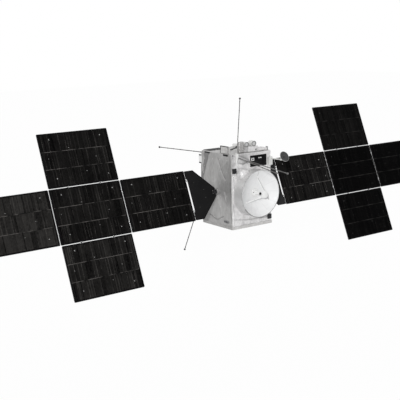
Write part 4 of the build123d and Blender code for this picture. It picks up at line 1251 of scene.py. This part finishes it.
# name, hinge, tip, material
BOOMS = (
    ("rear_boom", (-1.160, 1.295, 3.630), (-1.160, 5.279, 3.514), BOOM_DARK),
    ("down_boom", (-1.029, 1.295, 1.924), (-1.029, 3.329, -1.871), BOOM_DARK),
    ("up_boom", (1.059, 1.295, 3.200), (1.329, 1.295, 6.191), BOOM_DARK),
    ("front_boom_a", (-0.848, -1.295, 3.560), (-0.848, -4.112, 3.151), BOOM_GREY),
    ("front_boom_b", (-0.202, -1.295, 3.340), (-0.202, -4.126, 3.066), BOOM_GREY),
)
belt = hoop(0.0485, 0.0515, 0.036, 0.004, 24)
for name, hinge, tip, material in BOOMS:
    hinge, tip = Vector(hinge), Vector(tip)
    along = tip - hinge
    ahead = along.normalized()
    collars = Batch()
    for k in range(COLLARS):
        ring = hoop(TUBE_R, 0.027 if k else 0.031, 0.034, 0.004, 16)
        collars.add(ring, at(hinge + ahead * (0.075 + k * (along.length - 0.30) / (COLLARS - 1)), along))
    collars.add(belt, at(tip - ahead * 0.068, along))
    collars.piece(f"{name}_collars", name, material, "bare_metal", smooth=35)
print(len(BOOMS), "booms with collars")

# %% Small dish ring and ribs
LEAN = math.radians(28.0)
RIBS = 8
small_at = at((1.290, -2.014, 3.427), (0, -math.cos(LEAN), math.sin(LEAN)))
rim = ((0.249, 0.160), (0.255, 0.170), (0.262, 0.168), (0.262, 0.156), (0.254, 0.154))
ring, knob = Batch(), Batch()
ring.add(turned(rim, 64), small_at)
for out in spokes(2, RIBS):
    slope = out * 0.150 + Vector((0, 0, 0.062))
    middle = out * 0.178 + Vector((0, 0, 0.126))
    rib = at(middle, slope.cross(Vector((-out.y, out.x, 0))), slope)
    ring.add(chamfered((0.150, 0.010, 0.016), 0.003), small_at @ rib)
ring.piece("small_dish_ring", "small_dish", TAPE_GREY, "bare_metal", smooth=35)
knob.add(turned(((0.031, 0.150), (0.031, 0.176), (0.020, 0.186), (0.0, 0.186)), 24), small_at)
knob.piece("small_dish_cap", "small_dish", SMALL_GREY, "bare_metal", smooth=35)
print("small dish ring, cap and", RIBS, "ribs")

# %% Telescopes
glass, pale, black, grey_parts, lids = (Batch() for _ in range(5))
# x, tube radius, inner radius
for x, tube, bore in ((-0.200, 0.115, 0.107), (0.250, 0.125, 0.116)):
    mouth = at((x, -1.130, 4.020 + tube), TO_REAR)
    inner = bore - 0.001
    shade = ((inner, 0.004), (inner, 0.040), (bore - 0.020, 0.040))
    cover = (
        (bore - 0.018, 0.042), (bore - 0.018, 0.014), (bore - 0.030, 0.008),
        (bore * 0.3, 0.012), (0.0, 0.012),
    )
    lip = (
        (bore - 0.002, 0.003), (inner, -0.004), (tube + 0.003, -0.004),
        (tube + 0.004, 0.020), (tube, 0.022),
    )
    for batch, profile in ((grey_parts, shade), (lids, cover), (grey_parts, lip)):
        batch.add(turned(profile, 40), mouth)
    for back in (0.10, 0.22):
        pale.add(hoop(tube, tube + 0.004, 0.023, 0.003, 40), mouth @ Matrix.Translation((0, 0, back)))
print("two telescopes with lids and hoops")

# %% Sensor heads and black sensors
# heads in the recess: x, front y, z, plate width, plate height, lens radius
HEADS = ((0.121, -1.160, 3.384, 0.172, 0.136, 0.048), (0.595, -1.130, 3.418, 0.180, 0.050, 0.018))
for x, y, z, wide, tall, lens_r in HEADS:
    pale.add(chamfered((wide, tall, 0.008), 0.003), at((x, y - 0.004, z), TO_FRONT))
    eye = ((lens_r, 0.0), (lens_r, 0.010), (lens_r * 0.85, 0.012), (lens_r * 0.5, 0.007), (0.0, 0.006))
    glass.add(turned(eye, 32), at((x, y - 0.008, z), TO_FRONT))
pane = chamfered((0.084, 0.088, 0.006), 0.002)
for x, z in ((-1.080, 2.940), (1.080, 0.418)):
    for dx in (-0.052, 0.052):
        for dz in (-0.054, 0.054):
            glass.add(pane, at((x + dx, -1.262, z + dz), TO_FRONT))
print(len(HEADS), "sensor heads and two black sensors")

# %% Frames, bars and roof duct
ROOF_Z = 3.745
BAR_CUT = 0.004
# size, middle: frame of the edge box, bars of the cheek plate, clip at the front wall's corner
BARS = (
    ((0.020, 0.640, 0.036), (-1.214, -0.65, 4.100)),
    ((0.020, 0.036, 0.340), (-1.214, -0.952, 3.93)),
    ((0.020, 0.036, 0.340), (-1.214, -0.348, 3.93)),
    ((0.016, 0.20, 0.055), (-1.242, 1.335, 3.105)),
    ((0.016, 0.20, 0.055), (-1.242, 1.335, 3.495)),
    ((0.075, 0.016, 0.045), (-1.150, -1.226, 3.690)),
)
for size, where in BARS:
    black.block(size, BAR_CUT, where)
# duct across the roof to the foot of the up boom, with two small boxes beside it
DUCT = (Vector((-0.235, 0.121, 3.762)), Vector((0.409, 0.535, 3.762)), Vector((0.930, 1.060, 3.762)))
for start, end in zip(DUCT, DUCT[1:]):
    black.add(chamfered(((end - start).length, 0.070, 0.044), 0.010), at((start + end) / 2, UP, end - start))
ROOF_BOXES = ((pale, 0.800, 1.130, (0.20, 0.12, 0.14)), (grey_parts, 1.030, 1.120, (0.17, 0.13, 0.12)))
for batch, x, y, size in ROOF_BOXES:
    batch.block(size, 0.010, (x, y, ROOF_Z + size[2] / 2))
    batch.block((size[0] + 0.014, size[1] + 0.014, 0.014), 0.004, (x, y, ROOF_Z + size[2] * 0.7))
print(len(BARS), "bars and a duct of", len(DUCT) - 1, "runs")

# %% Port, louvres and knobs
PORT = Vector((0.370, -1.112, 3.840))
PORT_HOLE = ((0.040, 0.0), (0.036, 0.006), (0.0, 0.004))
PORT_RIM = ((0.041, 0.0), (0.041, 0.010), (0.050, 0.010), (0.052, 0.0))
black.add(turned(PORT_HOLE, 24), at(PORT - Vector((0, 0.002, 0)), TO_FRONT))
pale.add(turned(PORT_RIM, 28), at(PORT, TO_FRONT))
louvre = chamfered((0.010, 0.340, 0.009), 0.002)
for k in range(5):
    black.add(louvre, Matrix.Translation((-1.257, -0.740, 0.358 + 0.020 * k)) @ Matrix.Rotation(0.5, 4, "Y"))
collar = turned(((0.058, -0.01), (0.058, 0.020), (0.048, 0.032), (0.030, 0.032), (0.026, 0.018)), 28)
core = turned(((0.027, 0.010), (0.014, 0.019), (0.0, 0.019)), 20)
for x, z in ((-1.120, 2.650), (-0.900, 2.610)):
    spot = at(skin(Vector((x, BODY_LOW.y, z)), 0.0), TO_FRONT)
    pale.add(collar, spot)
    black.add(core, spot)
GLASS = painted("lens_glass", (0.008, 0.008, 0.010), (0.022, 0.022, 0.024), 0.18, 20.0, 0.0, 0.3)
glass.piece("lenses", "bus", GLASS, "black_paint", smooth=35)
pale.piece("pale_frames", "bus", FEED_WHITE, "pale_metal", smooth=35)
black.piece("black_frames", "bus", BLACK_PAINT, "black_paint", smooth=35)
grey_parts.piece("grey_frames", "bus", RIM_GREY, "bare_metal", smooth=35)
lids.piece("telescope_lids", "bus", SLEEVE_GREY, "pale_metal", smooth=35)
print("lens, frame and louvre faces", len(glass.faces) + len(pale.faces) + len(black.faces))

# %% Radiator tiles, engine band and ring rivets
TILES, RIVETS = 10, 72
tiles, band, rivets = Batch(), Batch(), Batch()
low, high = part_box("rear_radiator")
tile = chamfered((0.143, 0.133, 0.003), 0.0012)
for i in range(TILES):
    for k in range(TILES):
        x = low.x + (high.x - low.x) * (i + 0.5) / TILES
        z = low.z + (high.z - low.z) * (k + 0.5) / TILES
        tiles.add(tile, at((x, high.y + 0.0012, z), TO_REAR))
tiles.piece("radiator_tiles", "bus", STRUT_WHITE, "radiator_white")
band.add(hoop(0.262, 0.272, 0.020, 0.004, 64), Matrix.Translation((0, 0, 0.026)))
band.piece("engine_band", "bus", BARE_METAL, "bare_metal", smooth=35)
rivet = turned(((0.008, 0.0), (0.008, 0.002), (0.005, 0.005), (0.0, 0.006)), 10)
for out in spokes(2, RIVETS, 0.5):
    rivets.add(rivet, at(out * 0.833 + Vector((0, 0, 0.055)), out))
rivets.piece("ring_rivets", "bus", PALE_METAL, "pale_metal", smooth=35)
print(TILES * TILES, "radiator tiles, an engine band and", RIVETS, "rivets")

# %% Sizes of the CAD model and of the dressed model
boxes = {"cad": CAD_BOX, "visual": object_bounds()}
{k: [[round(c, 4) for c in corner] for corner in v] for k, v in boxes.items()}
